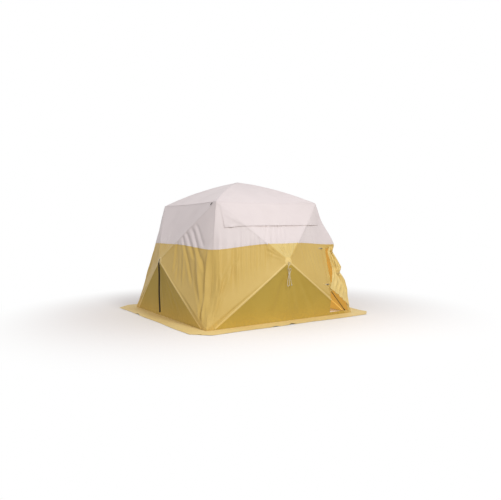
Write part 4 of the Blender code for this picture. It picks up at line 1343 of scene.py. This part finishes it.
# Past the corner the cloth is lifted along the wall as well, and less out of it
DOOR_LIFT_ALONG, DOOR_LIFT_LOSS = 0.70, 0.55


def door_place(u, v):
    """u runs down the door to its hem, and v across its pleats from the corner to its free edge."""
    w = 1 - v
    hem = DOOR_HEM[0][1] + (DOOR_HEM[1][1] - DOOR_HEM[0][1]) * w
    tied = np.clip(u / DOOR_TIED_SHARE, 0, 1)
    loose = np.clip((u - DOOR_TIED_SHARE) / (1 - DOOR_TIED_SHARE), 0, 1)
    z = DOOR_HEAD + (DOOR_TIED - DOOR_HEAD) * tied + (hem - DOOR_TIED) * loose
    inner = np.interp(u, *zip(*DOOR_INNER))
    outer = np.interp(z, *zip(*DOOR_OUTER[::-1]))
    turn = w * DOOR_PLEATS * math.tau
    for size, down, across in DOOR_WANDER:
        turn = turn + size * np.sin(down * z + across * w)
    ends = 4 * w * (1 - w)
    fan = -inner + (inner + outer) * np.clip(w + DOOR_FAN * ends * np.cos(turn), 0, 1)
    tie = sum(np.exp(-((z - height) / DOOR_TIE_REACH) ** 2) for height in DOOR_TIES)
    tie = tie * smooth(w, *DOOR_TIE_SPAN)
    at_head = DOOR_HEAD_SHARE + (1 - DOOR_HEAD_SHARE) * smooth(u, *DOOR_HEAD_HOLD)
    free = (1 - DOOR_TIE_HOLD * tie) * at_head
    still_full = 1 - DOOR_LOOSE_LOSS * loose
    round_out = DOOR_ROUND * np.sin(math.pi * np.clip(w, *DOOR_ROUND_SPAN)) ** DOOR_ROUNDNESS * still_full
    pleat = (DOOR_PLEAT_EDGE + DOOR_PLEAT * ends) * (0.5 + 0.5 * np.sin(turn))
    uneven = np.sin(DOOR_PLEAT_RATES[0] * w + DOOR_PLEAT_RATES[1] * z)
    pleat = pleat * (1 - DOOR_PLEAT_VARIES + DOOR_PLEAT_VARIES * uneven)
    pleat *= 1 - DOOR_HEM_SHARE * smooth(u, *DOOR_HEM_FLAT)
    puff = DOOR_PUFF * ends * np.sin(DOOR_PUFF_RATES[0] * w + DOOR_PUFF_RATES[1] * z) * still_full
    lift = DOOR_OFF + np.clip(round_out + pleat + puff, 0, None) * free
    over, beyond = np.clip(fan, None, 0), np.clip(fan, 0, None)
    flare = -np.minimum(seam_draw(z, "front", 1), 0)
    out = beyond / math.sqrt(2)
    turn_round = smooth(fan, *DOOR_TURN)
    across = seam_x(z) + over
    level, _ = wall_face.height(across, z)
    x = across + flare + out + lift * DOOR_LIFT_ALONG * turn_round
    y = -(level + flare + out + lift * (1 - DOOR_LIFT_LOSS * turn_round))
    return np.stack((x, y, z), axis=1)


def make_door():
    # The door's paler yellow is painted light
    door = mapped_grid("door_sheet", *DOOR_GRID, door_place, mats["door"], cut=(DOOR_LENGTH, DOOR_WIDTH))
    thicken(door, CLOTH, offset=0)
    fold_with(door, "door_flap")
    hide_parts("door_flap")


make_door()

# Sewn trims

STRIP_OFF, STRIP_THICKNESS, STRIP_ROUNDING = 0.0003, 0.0004, 0.7
STRIP_GRID = (60, 6)


def cloth_strip(name, start, end, width, dress, mat, rise):
    """A tape sewn on the cloth between two plan points, raised in its middle."""
    start, end = np.array(start, float), np.array(end, float)
    way = end - start
    length = math.hypot(*way)
    side = np.array((-way[1], way[0])) / length

    def place(u, v):
        half = (v - 0.5) * width
        p = start[0] + way[0] * u + side[0] * half
        q = start[1] + way[1] * u + side[1] * half
        bulge = CLOTH + STRIP_OFF + rise * np.clip(4 * v * (1 - v), 0, 1) ** STRIP_ROUNDING
        return off_cloth(dress, p, q, bulge[:, None])

    strip = mapped_grid(name, *STRIP_GRID, place, mat, cut=(length, width))
    thicken(strip, STRIP_THICKNESS, offset=-1)
    return strip


ROD_TAPE = 0.024
UPPER_TAPE_RISE, LOWER_TAPE_RISE = 0.0001, 0.0009
TAPE_START, TAPE_START_ABOVE, TAPE_START_BELOW = 0.045, 0.043, 0.033
TAPE_END, TAPE_END_HEIGHT = 0.825, 1.610
TAPE_FOOT, TAPE_FOOT_HEIGHT = FOOT * 0.985, 0.016


def make_rod_tapes():
    """The tapes that hold the rods to the cloth, sewn over them from outside."""
    for wall in WALL_TURNS:
        dress = dresser(wall)
        for side_name, side in SIDES.items():
            high_start = (side * TAPE_START, HUB_HEIGHT + TAPE_START_ABOVE)
            low_start = (side * TAPE_START, HUB_HEIGHT - TAPE_START_BELOW)
            change = (side * UPPER_SLOPE * (COLOUR_LINE - HUB_HEIGHT), COLOUR_LINE)
            high_end = (side * TAPE_END, TAPE_END_HEIGHT)
            low_end = (side * TAPE_FOOT, TAPE_FOOT_HEIGHT)
            if (wall, side_name) == ("front", "right"):
                low_end = (DOOR_LEFT, HUB_HEIGHT - (HUB_HEIGHT - WALL_FOOT) * DOOR_LEFT / FOOT)
            # The lower rods' tapes are pale: a real tape, whose paleness is partly a painted highlight along
            # the rods' upper side
            for level, start, end, colour, rise in (
                    ("upper", high_start, change, "yellow", UPPER_TAPE_RISE),
                    ("upper", change, high_end, "white", UPPER_TAPE_RISE),
                    ("lower", low_start, low_end, "pale", LOWER_TAPE_RISE)):
                tape = cloth_strip(f"{wall}_{level}_{side_name}_{colour}_tape", start, end, ROD_TAPE, dress,
                                   mats[colour + "_tape"], rise)
                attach(tape, f"{wall}_{level}_{side_name}_rod")
    for corner, (x, y) in CORNERS.items():
        start, end = (x * TAPE_START, y * TAPE_START), (x * TAPE_END, y * TAPE_END)
        tape = cloth_strip(f"roof_{corner}_tape", start, end, ROD_TAPE, dressed_roof, mats["white_tape"],
                           UPPER_TAPE_RISE)
        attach(tape, f"roof_rod_{corner}")


make_rod_tapes()

SEAM_BINDING, BINDING_OFF = 0.0014, 0.9
BINDING_STEPS, ROOF_BINDING_STEPS = 70, 90
BINDING_FOOT, ROOF_BINDING_END = 0.012, 0.004
ROOF_BINDING_OFF = (0, -0.0012, 0.0015)


def make_seam_bindings():
    """The bound seams down the corners and round the roof."""
    section = round_profile(SEAM_BINDING)
    for wall in WALL_TURNS:
        dress = dresser(wall)
        rod = f"{wall}_upper_left_rod"
        away = turned(np.array([(-math.sqrt(0.5), -math.sqrt(0.5), 0)]), wall)
        for colour, low, high in (("yellow", BINDING_FOOT, COLOUR_LINE),
                                  ("white", COLOUR_LINE, CORNER_HEIGHT)):
            q = np.linspace(low, high, BINDING_STEPS)
            path = dress(-seam_x(q), q) + away * SEAM_BINDING * BINDING_OFF
            seam = sweep(f"{wall}_corner_{colour}_binding", path, section, mats[colour])
            fold_with(seam, rod)
        p = np.linspace(-HALF_TOP + ROOF_BINDING_END, HALF_TOP - ROOF_BINDING_END, ROOF_BINDING_STEPS)
        path = dress(p, np.full(p.shape, CORNER_HEIGHT))
        lift = turned(np.array([ROOF_BINDING_OFF]), wall)
        edge = sweep(f"{wall}_roof_edge_binding", path + lift, section, mats["white"])
        fold_with(edge, rod)


make_seam_bindings()

PATCH_RADIUS, PATCH_SIDES = 0.055, 32
PATCH_OFF, PATCH_THICKNESS = 0.0016, 0.0012


def cloth_patch(name, centre, dress, mat):
    """A round patch sewn on the cloth."""
    outline = [(centre[0] + x, centre[1] + y) for x, y in round_profile(PATCH_RADIUS, PATCH_SIDES)]

    def lifted(p, q):
        return off_cloth(dress, p, q, CLOTH + PATCH_OFF)

    patch, _, _ = cloth_panel(name, outline, lifted, mat, mat)
    patch.modifiers["thickness"].thickness = PATCH_THICKNESS
    patch.modifiers["thickness"].offset = -1
    return patch


def make_hub_patches():
    for wall in WALL_TURNS:
        patch = cloth_patch(f"{wall}_hub_patch", HUB, dresser(wall), mats["pale_tape"])
        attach(patch, f"{wall}_hub")
    patch = cloth_patch("roof_hub_patch", (0, 0), dressed_roof, mats["white"])
    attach(patch, "shell")


make_hub_patches()

# Webbing, rings and toggles

STRAP_WIDTH, STRAP_THICKNESS, STRAP_CUT = 0.025, 0.0018, 0.78
STRAP_END, STRAP_CLOSE, STRAP_BEND = 0.052, 0.020, 0.055
STRAP_WRAP, STRAP_WRAP_OFF = (-20, 200), STRAP_THICKNESS * 0.6
STRAP_BACK_OFFS, STRAP_CLOSE_OFF, STRAP_FRONT_OFF = (0.0016, 0.0022), 0.0016, 0.0014
STRAP_STEPS, STRAP_SWAY, STRAP_SWAY_RATES = 11, (0.003, 0.004), (0.9, 0.7)
STRAP_ABOVE_END = 0.002
TAB_WIDTH, TAB_THICKNESS = 0.020, 0.0014
TAB_HEIGHTS, TAB_OFFS = (0.034, 0.008), (0.0042, 0.0044)
TAB_WRAP, TAB_OFF_WIRE = (120, 310), 0.0016
RING_SIDES, RING_STEPS = 14, 48
ARC_POINTS = 9


def arc(y, z, radius, span):
    """Points of an arc in the plane x = 0, from a first to a last bearing in degrees."""
    bearings = np.radians(np.linspace(*span, ARC_POINTS))
    return [(0, y + radius * math.cos(a), z + radius * math.sin(a)) for a in bearings]


def make_ring(wall):
    """The steel ring that hangs from a tab on a hub."""
    low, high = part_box(f"{wall}_ring")
    middle = (low + high) / 2
    bm = bmesh.new()
    made = bmesh.ops.create_circle(bm, segments=RING_SIDES, radius=RING_WIRE)["verts"]
    bmesh.ops.rotate(bm, verts=made, cent=(0, 0, 0), matrix=Matrix.Rotation(math.pi / 2, 3, "X"))
    bmesh.ops.translate(bm, vec=(RING_RADIUS, 0, 0), verts=made)
    edges = list({edge for vert in made for edge in vert.link_edges})
    bmesh.ops.spin(bm, geom=made + edges, axis=Z_AXIS, cent=(0, 0, 0), steps=RING_STEPS, angle=math.tau,
                   use_merge=True)
    bmesh.ops.recalc_face_normals(bm, faces=bm.faces)
    turn = wall_turn(wall) @ Matrix.Rotation(math.pi / 2, 4, "X")
    bmesh.ops.transform(bm, matrix=Matrix.Translation(middle) @ turn, verts=bm.verts)
    ring = object_from(bm, f"{wall}_steel_ring", mats["steel"])
    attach(ring, f"{wall}_hub")
    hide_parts(f"{wall}_ring")
    return middle


def make_ring_tab(wall, ring_middle):
    """The tab that is sewn over the hub and folded round its ring."""
    turn = wall_turn(wall)
    ring = turn.inverted() @ ring_middle
    heights = HUB_HEIGHT + np.array(TAB_HEIGHTS)
    level, _ = wall_face.height(np.zeros(2), heights)
    path = [(0, -y - off, z) for y, off, z in zip(level, TAB_OFFS, heights)]
    path += arc(ring.y, ring.z + RING_RADIUS, RING_WIRE + TAB_OFF_WIRE, TAB_WRAP)
    path = [turn @ Vector(p) for p in smooth_path(path, 4)]
    mat, slot = ("webbing", "black_webbing") if wall == "left" else ("pale_tape", "skirt_fabric")
    tab = sweep(f"{wall}_ring_tab", path, flat_profile(TAB_WIDTH, TAB_THICKNESS), mats[mat])
    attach(tab, f"{wall}_hub")


def make_pull_strap(ring_middle):
    """The strap that is turned over the left ring, sewn to itself, and hangs down the wall."""
    turn = wall_turn("left")
    ring = turn.inverted() @ ring_middle
    low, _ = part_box("pull_strap")
    ring_low = ring.z - RING_RADIUS
    bend = ring_low - STRAP_BEND
    path = [(0, ring.y + off, ring_low - below)
            for off, below in zip(STRAP_BACK_OFFS, (STRAP_END, STRAP_CLOSE))]
    path += arc(ring.y, ring_low, RING_WIRE + STRAP_WRAP_OFF, STRAP_WRAP)
    path += [(0, ring.y - STRAP_CLOSE_OFF, ring_low - STRAP_CLOSE), (0, ring.y - STRAP_FRONT_OFF, bend)]
    for i in range(1, STRAP_STEPS + 1):
        sway, away = (size * math.sin(i * rate) for size, rate in zip(STRAP_SWAY, STRAP_SWAY_RATES))
        z = bend - (bend - low.z - STRAP_ABOVE_END) * i / STRAP_STEPS
        path.append((sway, ring.y - STRAP_FRONT_OFF + away * i / STRAP_STEPS, z))
    path = [turn @ Vector(p) for p in smooth_path(path, steps=5)]
    strap = sweep("pull_strap_webbing", path, flat_profile(STRAP_WIDTH, STRAP_THICKNESS), mats["webbing"])
    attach(strap, "pull_strap")
    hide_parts("pull_strap")


for wall_name in ("front", "left"):
    ring_place = make_ring(wall_name)
    make_ring_tab(wall_name, ring_place)
    if wall_name == "left":
        make_pull_strap(ring_place)


LOOP_AT, LOOP_HEIGHTS = 0.762, (1.628, 1.600)
LOOP_WIDTH, LOOP_THICKNESS = 0.012, 0.0014
LOOP_OFF, LOOP_FOOT_OFF, LOOP_BACK, LOOP_SWELL, LOOP_DROP = 0.0035, 0.0062, 0.0065, 0.006, 0.004
LOOP_RETURN, LOOP_END = (0, -0.0135, 0.006), (0, -0.0062, -0.002)
LOOP_STEPS = 7


def make_corner_loops():
    """A webbing loop under each top corner, for a guy rope."""
    for wall, side_name in (("left", "right"), ("right", "left"), ("back", "left"), ("back", "right")):
        turn = wall_turn(wall)
        side = SIDES[side_name]
        at = np.array((LOOP_AT, LOOP_AT)) * side
        top, foot = [turn.inverted() @ Vector(p) for p in dresser(wall)(at, np.array(LOOP_HEIGHTS))]
        path = [top + Vector((0, -LOOP_OFF, 0)), foot + Vector((0, -LOOP_FOOT_OFF, 0))]
        for angle in np.linspace(0, math.pi, LOOP_STEPS):
            y = -LOOP_BACK - LOOP_SWELL * math.sin(angle / 2) ** 2
            path.append(foot + Vector((0, y, -LOOP_DROP - LOOP_DROP * math.sin(angle))))
        path += [foot + Vector(LOOP_RETURN), top + Vector(LOOP_END)]
        path = [turn @ p for p in smooth_path(path, 4)]
        loop = sweep(f"{wall}_{side_name}_guy_loop", path, flat_profile(LOOP_WIDTH, LOOP_THICKNESS),
                     mats["webbing"])
        fold_with(loop, f"{wall}_upper_{side_name}_rod")


make_corner_loops()


TIE_AROUND, TIE_POINTS, TIE_RING_POINTS = 0.62, 80, 49
TIE_SLACK_ALONG, TIE_SLACK_ACROSS, TIE_WAVE = 0.003, 0.002, 0.004
TIE_THICKNESS, TIE_WIDTH = 0.0014, 0.009


def make_door_ties():
    """The narrow tapes round the gathered door."""
    diagonal, across = np.array((1, -1, 0)) / math.sqrt(2), np.array((1, 1, 0)) / math.sqrt(2)
    for number, height in enumerate(DOOR_TIES):
        at = np.full(TIE_POINTS, (DOOR_HEAD - height) / (DOOR_HEAD - DOOR_TIED) * DOOR_TIED_SHARE)
        points = door_place(at, np.linspace(0, TIE_AROUND, TIE_POINTS))
        middle = (points.min(axis=0) + points.max(axis=0)) / 2
        reach = np.ptp(points @ diagonal) / 2 + TIE_SLACK_ALONG
        thick = np.ptp(points @ across) / 2 + TIE_SLACK_ACROSS
        angles = np.linspace(0, math.tau, TIE_RING_POINTS)
        path = middle + np.outer(np.cos(angles), diagonal * reach) + np.outer(np.sin(angles), across * thick)
        path[:, 2] = height + TIE_WAVE * np.sin(angles)
        band = sweep(f"door_tie_{number}", path, flat_profile(TIE_THICKNESS, TIE_WIDTH, 2), mats["pale_tape"])
        fold_with(band, "door_flap")


make_door_ties()


STORM_WIDTH, STORM_LENGTH = 0.07, DOOR_TOP - 0.34
STORM_LAP, STORM_SEWN, STORM_ABOVE = 0.022, 0.04, 0.006
STORM_OFF, STORM_LIFT, STORM_LOOSE = 0.002, 0.006, (0.25, 1.0)
STORM_WAVE, STORM_WAVES, STORM_EDGE_RATE = 0.004, (21, 1.5, 9), 12
STORM_GRID = (60, 10)
HEM_AT, HEM_FROM, HEM_RADIUS, HEM_SIDES, HEM_STEPS = 0.995, 0.08, 0.0045, 10, 70
PIPING_START, PIPING_END = (0.665, 0.480), (0.796, 0.392)
PIPING_WIDTH, PIPING_RISE = 0.009, 0.0022


def make_door_trims():
    """Storm strip down the doorway's left edge, piping beside its foot, and the gathered door's hem."""
    dress = dresser("front")

    def strip_place(u, v):
        x = DOOR_LEFT - STORM_LAP + STORM_WIDTH * v
        z = DOOR_TOP + STORM_ABOVE - STORM_LENGTH * u
        loose = smooth(v, *STORM_LOOSE)
        off = STORM_OFF + STORM_LIFT * loose + STORM_WAVE * loose * uneven_wave(u, *STORM_WAVES)
        points = off_cloth(dress, np.minimum(x, DOOR_LEFT + STORM_SEWN), z, off[:, None])
        points[:, 0] += np.clip(x - DOOR_LEFT - STORM_SEWN, 0, None)
        points[:, 0] += STORM_WAVE * loose * np.sin(u * STORM_EDGE_RATE)
        return points

    strip = mapped_grid("door_storm_strip", *STORM_GRID, strip_place, mats["yellow"], mats["yellow_inside"],
                        cut=(STORM_LENGTH, STORM_WIDTH))
    thicken(strip, CLOTH)
    path = door_place(np.full(HEM_STEPS, HEM_AT), np.linspace(HEM_FROM, 1, HEM_STEPS))
    hem = sweep("door_hem", path, round_profile(HEM_RADIUS, HEM_SIDES), mats["skirt"])
    fold_with(hem, "door_flap")
    piping = cloth_strip("door_piping", PIPING_START, PIPING_END, PIPING_WIDTH, dress, mats["pale_tape"],
                         PIPING_RISE)
    for obj in (strip, piping):
        fold_with(obj, "front_upper_right_rod")


make_door_trims()


TOGGLE_ENDS = ((0.0, 0.0), (0.0044, 0.0), (0.0058, 0.0016), (0.0058, 0.0125), (0.0046, 0.0165))
TOGGLE_WAIST, TOGGLE_STEPS = 0.0042, 28
CORD_LOOP, CORD_RADIUS, CORD_SWAY = 0.0056, 0.0013, 0.0008
CORD_STEPS, TAIL_STEPS = 25, 30
TAIL_AT, TAIL_UP, TAIL_OFF = 0.036, 0.003, 0.0015
TAIL_LENGTH, TAIL_WIDTH, TAIL_SWAY = 0.022, 0.0065, 0.0012
TAIL_RADIUS, TAIL_OPENING = 0.0019, 0.2


def make_toggle(level):
    """A turned barrel with a cord round its waist, and the loop of cord beside it."""
    low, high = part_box(f"door_toggle_{level}")
    middle = (low + high) / 2
    length = high.x - low.x
    bm = bmesh.new()
    profile = [*TOGGLE_ENDS, (TOGGLE_WAIST, 0.5 * length)]
    profile += [(r, length - x) for r, x in profile[-2::-1]]
    verts = [bm.verts.new((x - length / 2, 0, r)) for r, x in profile]
    edges = [bm.edges.new(pair) for pair in zip(verts, verts[1:])]
    bmesh.ops.spin(bm, geom=verts + edges, axis=X_AXIS, cent=(0, 0, 0), steps=TOGGLE_STEPS, angle=math.tau,
                   use_merge=True)
    bmesh.ops.remove_doubles(bm, verts=bm.verts, dist=SAME_POINT)
    bmesh.ops.recalc_face_normals(bm, faces=bm.faces)
    right, _ = wall_face.height(np.array((high.x, low.x)), np.array((middle.z, middle.z)))
    turn = Matrix.Rotation(math.atan2(-(right[0] - right[1]), length), 4, "Z")
    bmesh.ops.transform(bm, matrix=Matrix.Translation(middle) @ turn, verts=bm.verts)
    toggle = object_from(bm, f"door_toggle_{level}_barrel", mats["plastic"])
    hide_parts(f"door_toggle_{level}")
    path = [middle + Vector((CORD_SWAY * math.sin(3 * a), -CORD_LOOP * math.cos(a), CORD_LOOP * math.sin(a)))
            for a in np.linspace(0, math.tau, CORD_STEPS)]
    loop = sweep(f"door_toggle_{level}_cord", path, round_profile(CORD_RADIUS), mats["rope"])
    path = [middle + Vector((TAIL_LENGTH * math.cos(a) - TAIL_AT, -TAIL_OFF + TAIL_SWAY * math.sin(2 * a),
                             TAIL_WIDTH * math.sin(a) + TAIL_UP))
            for a in np.linspace(TAIL_OPENING, math.tau - TAIL_OPENING, TAIL_STEPS)]
    tail = sweep(f"door_toggle_{level}_cord_end", path, round_profile(TAIL_RADIUS), mats["rope"])
    for obj in (toggle, loop, tail):
        fold_with(obj, "front_upper_right_rod")


for toggle_level in ("upper", "lower"):
    make_toggle(toggle_level)

# Frame: rods with their ferrules and end caps, rubber boots, top fittings, and the hubs' pins

ROD_RADIUS = 0.0055
ROD_SIDES = 8
SEEN_ROD_RADIUS, SEEN_ROD_SIDES = ROD_RADIUS * 0.98, 14
FERRULE_HALF = 0.028
CAP_LENGTH, CAP_INSET = 0.016, 0.0004
LIP, COLLAR, CRIMP = ROD_RADIUS - 0.0003, ROD_RADIUS + 0.0004, ROD_RADIUS + 0.0001
COLLAR_RADII = (LIP, COLLAR, COLLAR, CRIMP, COLLAR, COLLAR, COLLAR, CRIMP, COLLAR, COLLAR, LIP)
CLOSED_END = 0.0002
BOOT_SHARES = (0.0, 0.55, 0.80, 0.93, 1.0, 1.0, 0.90, 1.0, 1.0, 0.90, 1.0, 1.0, 0.90, 1.0, 0.94, 0.86, 0.66)
BOOT_SIZE, BALL_SIZE = 0.99, 0.985
BALL_RINGS, BALL_SIDES, PIN_SIDES = 41, 28, 12
BALL_END, BALL_SHARE, BAND_HALF = 0.97, 0.93, 0.22
BOSS_FROM, BOSS_SHARE = 0.9, 0.34
PIN_FROM_ROD_END, PIN_HALF = 0.006, 0.0085
PIN_RADII = (0.0010, 0.0016, 0.0016, 0.0016, 0.0016, 0.0010)
SLEEVE_RADIUS, SLEEVE_SIDES, SLEEVE_START = 0.0074, 16, 0.012


def solid_points(node):
    """The separate points of a kept solid."""
    bm = bmesh.new()
    bm.from_mesh(node.data)
    bmesh.ops.remove_doubles(bm, verts=bm.verts, dist=SAME_CUT)
    points = np.array([node.matrix_world @ v.co for v in bm.verts])
    bm.free()
    return points


def lengthwise(points):
    """Points in their order along the solid's long axis."""
    middle = points.mean(axis=0)
    axis = np.linalg.svd(points - middle)[2][0]
    return points[np.argsort((points - middle) @ axis)]


def turned_bar(name, start, end, radii, mat, sides=18):
    """A turned piece from start to end, its radii evenly spaced along it."""
    start, end = np.array(start), np.array(end)
    path = start + (end - start) * np.linspace(0, 1, len(radii))[:, None]
    _, side, up = path_frames(path)
    radii = np.array(radii)

    def place(u, v):
        i = np.rint(u * (len(radii) - 1)).astype(int)
        turn = v * math.tau
        reach = radii[i][:, None] * (side[i] * np.cos(turn)[:, None] + up[i] * np.sin(turn)[:, None])
        return path[i] + reach

    cut = (float(np.linalg.norm(end - start)), math.tau * float(radii.max()))
    return mapped_grid(name, len(radii) - 1, sides, place, mat, cut=cut, tube=True)


def make_rod(name, node):
    """A rod along its solid's middle line, with a ferrule at its middle and a cap on each end."""
    rings = lengthwise(solid_points(node)).reshape(-1, ROD_SIDES, 3)
    path = np.array(smooth_path(rings.mean(axis=1), steps=6))
    rod = sweep(f"{name}_tube", path, round_profile(SEEN_ROD_RADIUS, SEEN_ROD_SIDES), mats["rod"])
    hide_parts(name)
    pieces = [(rod, "rod")]
    middle = path[len(path) // 2]
    way = path[len(path) // 2 + 1] - path[len(path) // 2 - 1]
    way /= np.linalg.norm(way)
    ends = [(middle - way * FERRULE_HALF, middle + way * FERRULE_HALF, "ferrule", "steel", "ring_steel")]
    for number, (tip, inner) in enumerate(((path[0], path[1]), (path[-1], path[-2]))):
        inward = (inner - tip) / np.linalg.norm(inner - tip)
        ends.append((tip + inward * CAP_INSET, tip + inward * CAP_LENGTH, f"cap_{number}", "plastic",
                     "black_plastic"))
    for start, end, part, mat, slot in ends:
        pieces.append((turned_bar(f"{name}_{part}", start, end, COLLAR_RADII, mats[mat]), slot))
    for obj, slot in pieces:
        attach(obj, name)
    return path


def make_boot(name, node, rod):
    """A ribbed rubber boot, closed and rounded at its foot."""
    points = lengthwise(solid_points(node))
    middle = points.mean(axis=0)
    axis = np.linalg.svd(points - middle)[2][0]
    reach = (points - middle) @ axis
    radius = np.linalg.norm(points - middle - reach[:, None] * axis, axis=1).max()
    low, high = middle + axis * reach.min(), middle + axis * reach.max()
    if low[2] > high[2]:
        low, high = high, low
    radii = [max(radius * share * BOOT_SIZE, CLOSED_END) for share in BOOT_SHARES]
    boot = turned_bar(f"{name}_turned", low, high, radii, mats["rubber"])
    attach(boot, rod)
    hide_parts(name)


def make_fitting(name, node):
    """A moulded ball, with a raised band round its middle and a flat boss at each end."""
    points = solid_points(node)
    middle = (points.min(axis=0) + points.max(axis=0)) / 2
    radius = float(np.linalg.norm(points - middle, axis=1).max()) * BALL_SIZE
    reach = np.array((0, 0, radius * BALL_END))
    radii = [CLOSED_END]
    for height in np.linspace(-BALL_END, BALL_END, BALL_RINGS):
        share = 1.0 if abs(height) < BAND_HALF else BALL_SHARE
        ball_radius = radius * share * math.sqrt(1 - height ** 2)
        radii.append(max(ball_radius, radius * BOSS_SHARE) if abs(height) > BOSS_FROM else ball_radius)
    radii.append(CLOSED_END)
    ball = turned_bar(f"{name}_ball", middle - reach, middle + reach, radii, mats["rubber"], BALL_SIDES)
    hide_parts(name)
    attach(ball, name.replace("top_fitting", "roof_rod"))


def make_pins(hub_name, hub_node, rods):
    """The steel pins that the rods turn on, across the hub's slots."""
    hub = solid_points(hub_node)
    middle = (hub.min(axis=0) + hub.max(axis=0)) / 2
    for number, path in enumerate(rods):
        path = path if np.linalg.norm(path[0] - middle) < np.linalg.norm(path[-1] - middle) else path[::-1]
        radial = Vector(path[2] - path[0]).normalized()
        outward = Vector(middle) if hub_name != "roof_hub" else Z_AXIS.copy()
        if hub_name != "roof_hub":
            outward.z = 0
        across = outward.cross(radial).normalized()
        place = Vector(path[0]) + radial * PIN_FROM_ROD_END
        pin = turned_bar(f"{hub_name}_pin_{number}", place - across * PIN_HALF, place + across * PIN_HALF,
                         PIN_RADII, mats["steel"], PIN_SIDES)
        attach(pin, "shell" if hub_name == "roof_hub" else hub_name)


def make_rod_sleeve(path, rod):
    """The sleeve on the rod where it crosses the doorway. It has the inside coating's orange and glow:
    painted shade on the sleeve, and painted light of the lit inside behind it.
    """
    seen = path[path[:, 0] > DOOR_LEFT - SLEEVE_START]
    seen = np.array(smooth_path(seen[:-1], 3))
    section = round_profile(SLEEVE_RADIUS, SLEEVE_SIDES)
    sleeve = sweep("doorway_rod_sleeve", seen, section, mats["yellow_inside"])
    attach(sleeve, rod)


def make_frame():
    nodes = frame["nodes"]
    roof_paths = []
    for wall in WALL_TURNS:
        paths = []
        for side_name in SIDES:
            for level in ("upper", "lower"):
                name = f"{wall}_{level}_{side_name}_rod"
                paths.append(make_rod(name, nodes[name]))
                if name == "front_lower_right_rod":
                    make_rod_sleeve(paths[-1], name)
            make_boot(f"{wall}_{side_name}_rod_boot", nodes[f"{wall}_{side_name}_rod_boot"],
                      f"{wall}_lower_{side_name}_rod")
        make_pins(f"{wall}_hub", nodes[f"{wall}_hub"], paths)
    for corner in CORNERS:
        roof_paths.append(make_rod(f"roof_rod_{corner}", nodes[f"roof_rod_{corner}"]))
        make_fitting(f"top_fitting_{corner}", nodes[f"top_fitting_{corner}"])
    make_pins("roof_hub", nodes["roof_hub"], roof_paths)
    for name, node in nodes.items():
        if name.endswith("_hub"):
            node.data.materials.clear()
            node.data.materials.append(mats["plastic"])


make_frame()

# Studio

FLOOR_FADE = (1.9, 3.9)
FLOOR_HALF, FLOOR_DROP, FLOOR_ROUGHNESS = 40, 0.0005, 0.9
FLOOR_SEEN, FLOOR_REFLECTING = (0.95, 0.94, 0.935, 1), (0.20, 0.19, 0.15, 1)
PAPER_WHITE = (1, 1, 1, 1)
SKY, SKY_STRENGTH = (1.0, 0.962, 0.965, 1), 0.62

# Name, place, target, size, power and colour of each light
LIGHTS = (
    ("key", (-0.6, -7.0, 5.2), (0, -0.3, 0.8), 2.0, 285, (1.0, 0.985, 0.955)),
    ("side_sky", (-6.5, 3.0, 2.2), (-1.0, 0, 0.9), 4.0, 42, (1.0, 0.97, 0.98)))


def make_floor():
    """The ground that takes the shadow. It fades to the white of the page away from the tent."""
    bm = bmesh.new()
    bmesh.ops.create_grid(bm, x_segments=1, y_segments=1, size=FLOOR_HALF)
    mat, n, shader = new_material("floor", FLOOR_ROUGHNESS)
    seen = n.add("ShaderNodeLightPath").outputs["Is Camera Ray"]
    n.feed(shader.inputs["Base Color"], n.mix(seen, FLOOR_REFLECTING, FLOOR_SEEN))
    place = n.add("ShaderNodeTexCoord").outputs["Object"]
    away = n.add("ShaderNodeVectorMath", {0: place}, operation="LENGTH")
    far = n.math("MULTIPLY", n.ramp(away.outputs["Value"], *FLOOR_FADE), seen)
    white = n.add("ShaderNodeEmission", {"Color": PAPER_WHITE, "Strength": 1.0})
    faded = n.add("ShaderNodeMixShader", {0: far, 1: shader.outputs[0], 2: white.outputs[0]})
    n.feed(mat.node_tree.nodes["Material Output"].inputs["Surface"], faded.outputs[0])
    floor = object_from(bm, "floor", mat)
    floor.location.z = -FLOOR_DROP


def make_light(name, place, target, size, power, colour):
    data = bpy.data.lights.new(name, "AREA")
    data.shape = "DISK"
    data.size = size
    data.energy = power
    data.color = colour
    light = bpy.data.objects.new(name, data)
    light.location = place
    light.rotation_euler = (Vector(target) - Vector(place)).to_track_quat("-Z", "Y").to_euler()
    bpy.context.scene.collection.objects.link(light)


def make_studio():
    make_floor()
    for light in LIGHTS:
        make_light(*light)
    world = bpy.data.worlds.new("studio")
    bpy.context.scene.world = world
    world.use_nodes = True
    n = Nodes(world.node_tree)
    background = world.node_tree.nodes["Background"]
    background.inputs["Color"].default_value = SKY
    background.inputs["Strength"].default_value = SKY_STRENGTH
    white = n.add("ShaderNodeBackground", {"Color": PAPER_WHITE, "Strength": 1.0})
    path = n.add("ShaderNodeLightPath").outputs
    seen = n.math("ADD", path["Is Camera Ray"], path["Is Glossy Ray"])
    seen = n.math("ADD", seen, path["Is Transmission Ray"], clamp=True)
    mixed = n.add("ShaderNodeMixShader", {0: seen, 1: background.outputs[0], 2: white.outputs[0]})
    n.feed(world.node_tree.nodes["World Output"].inputs["Surface"], mixed.outputs[0])
    bpy.context.scene.view_settings.view_transform = "Standard"


make_studio()
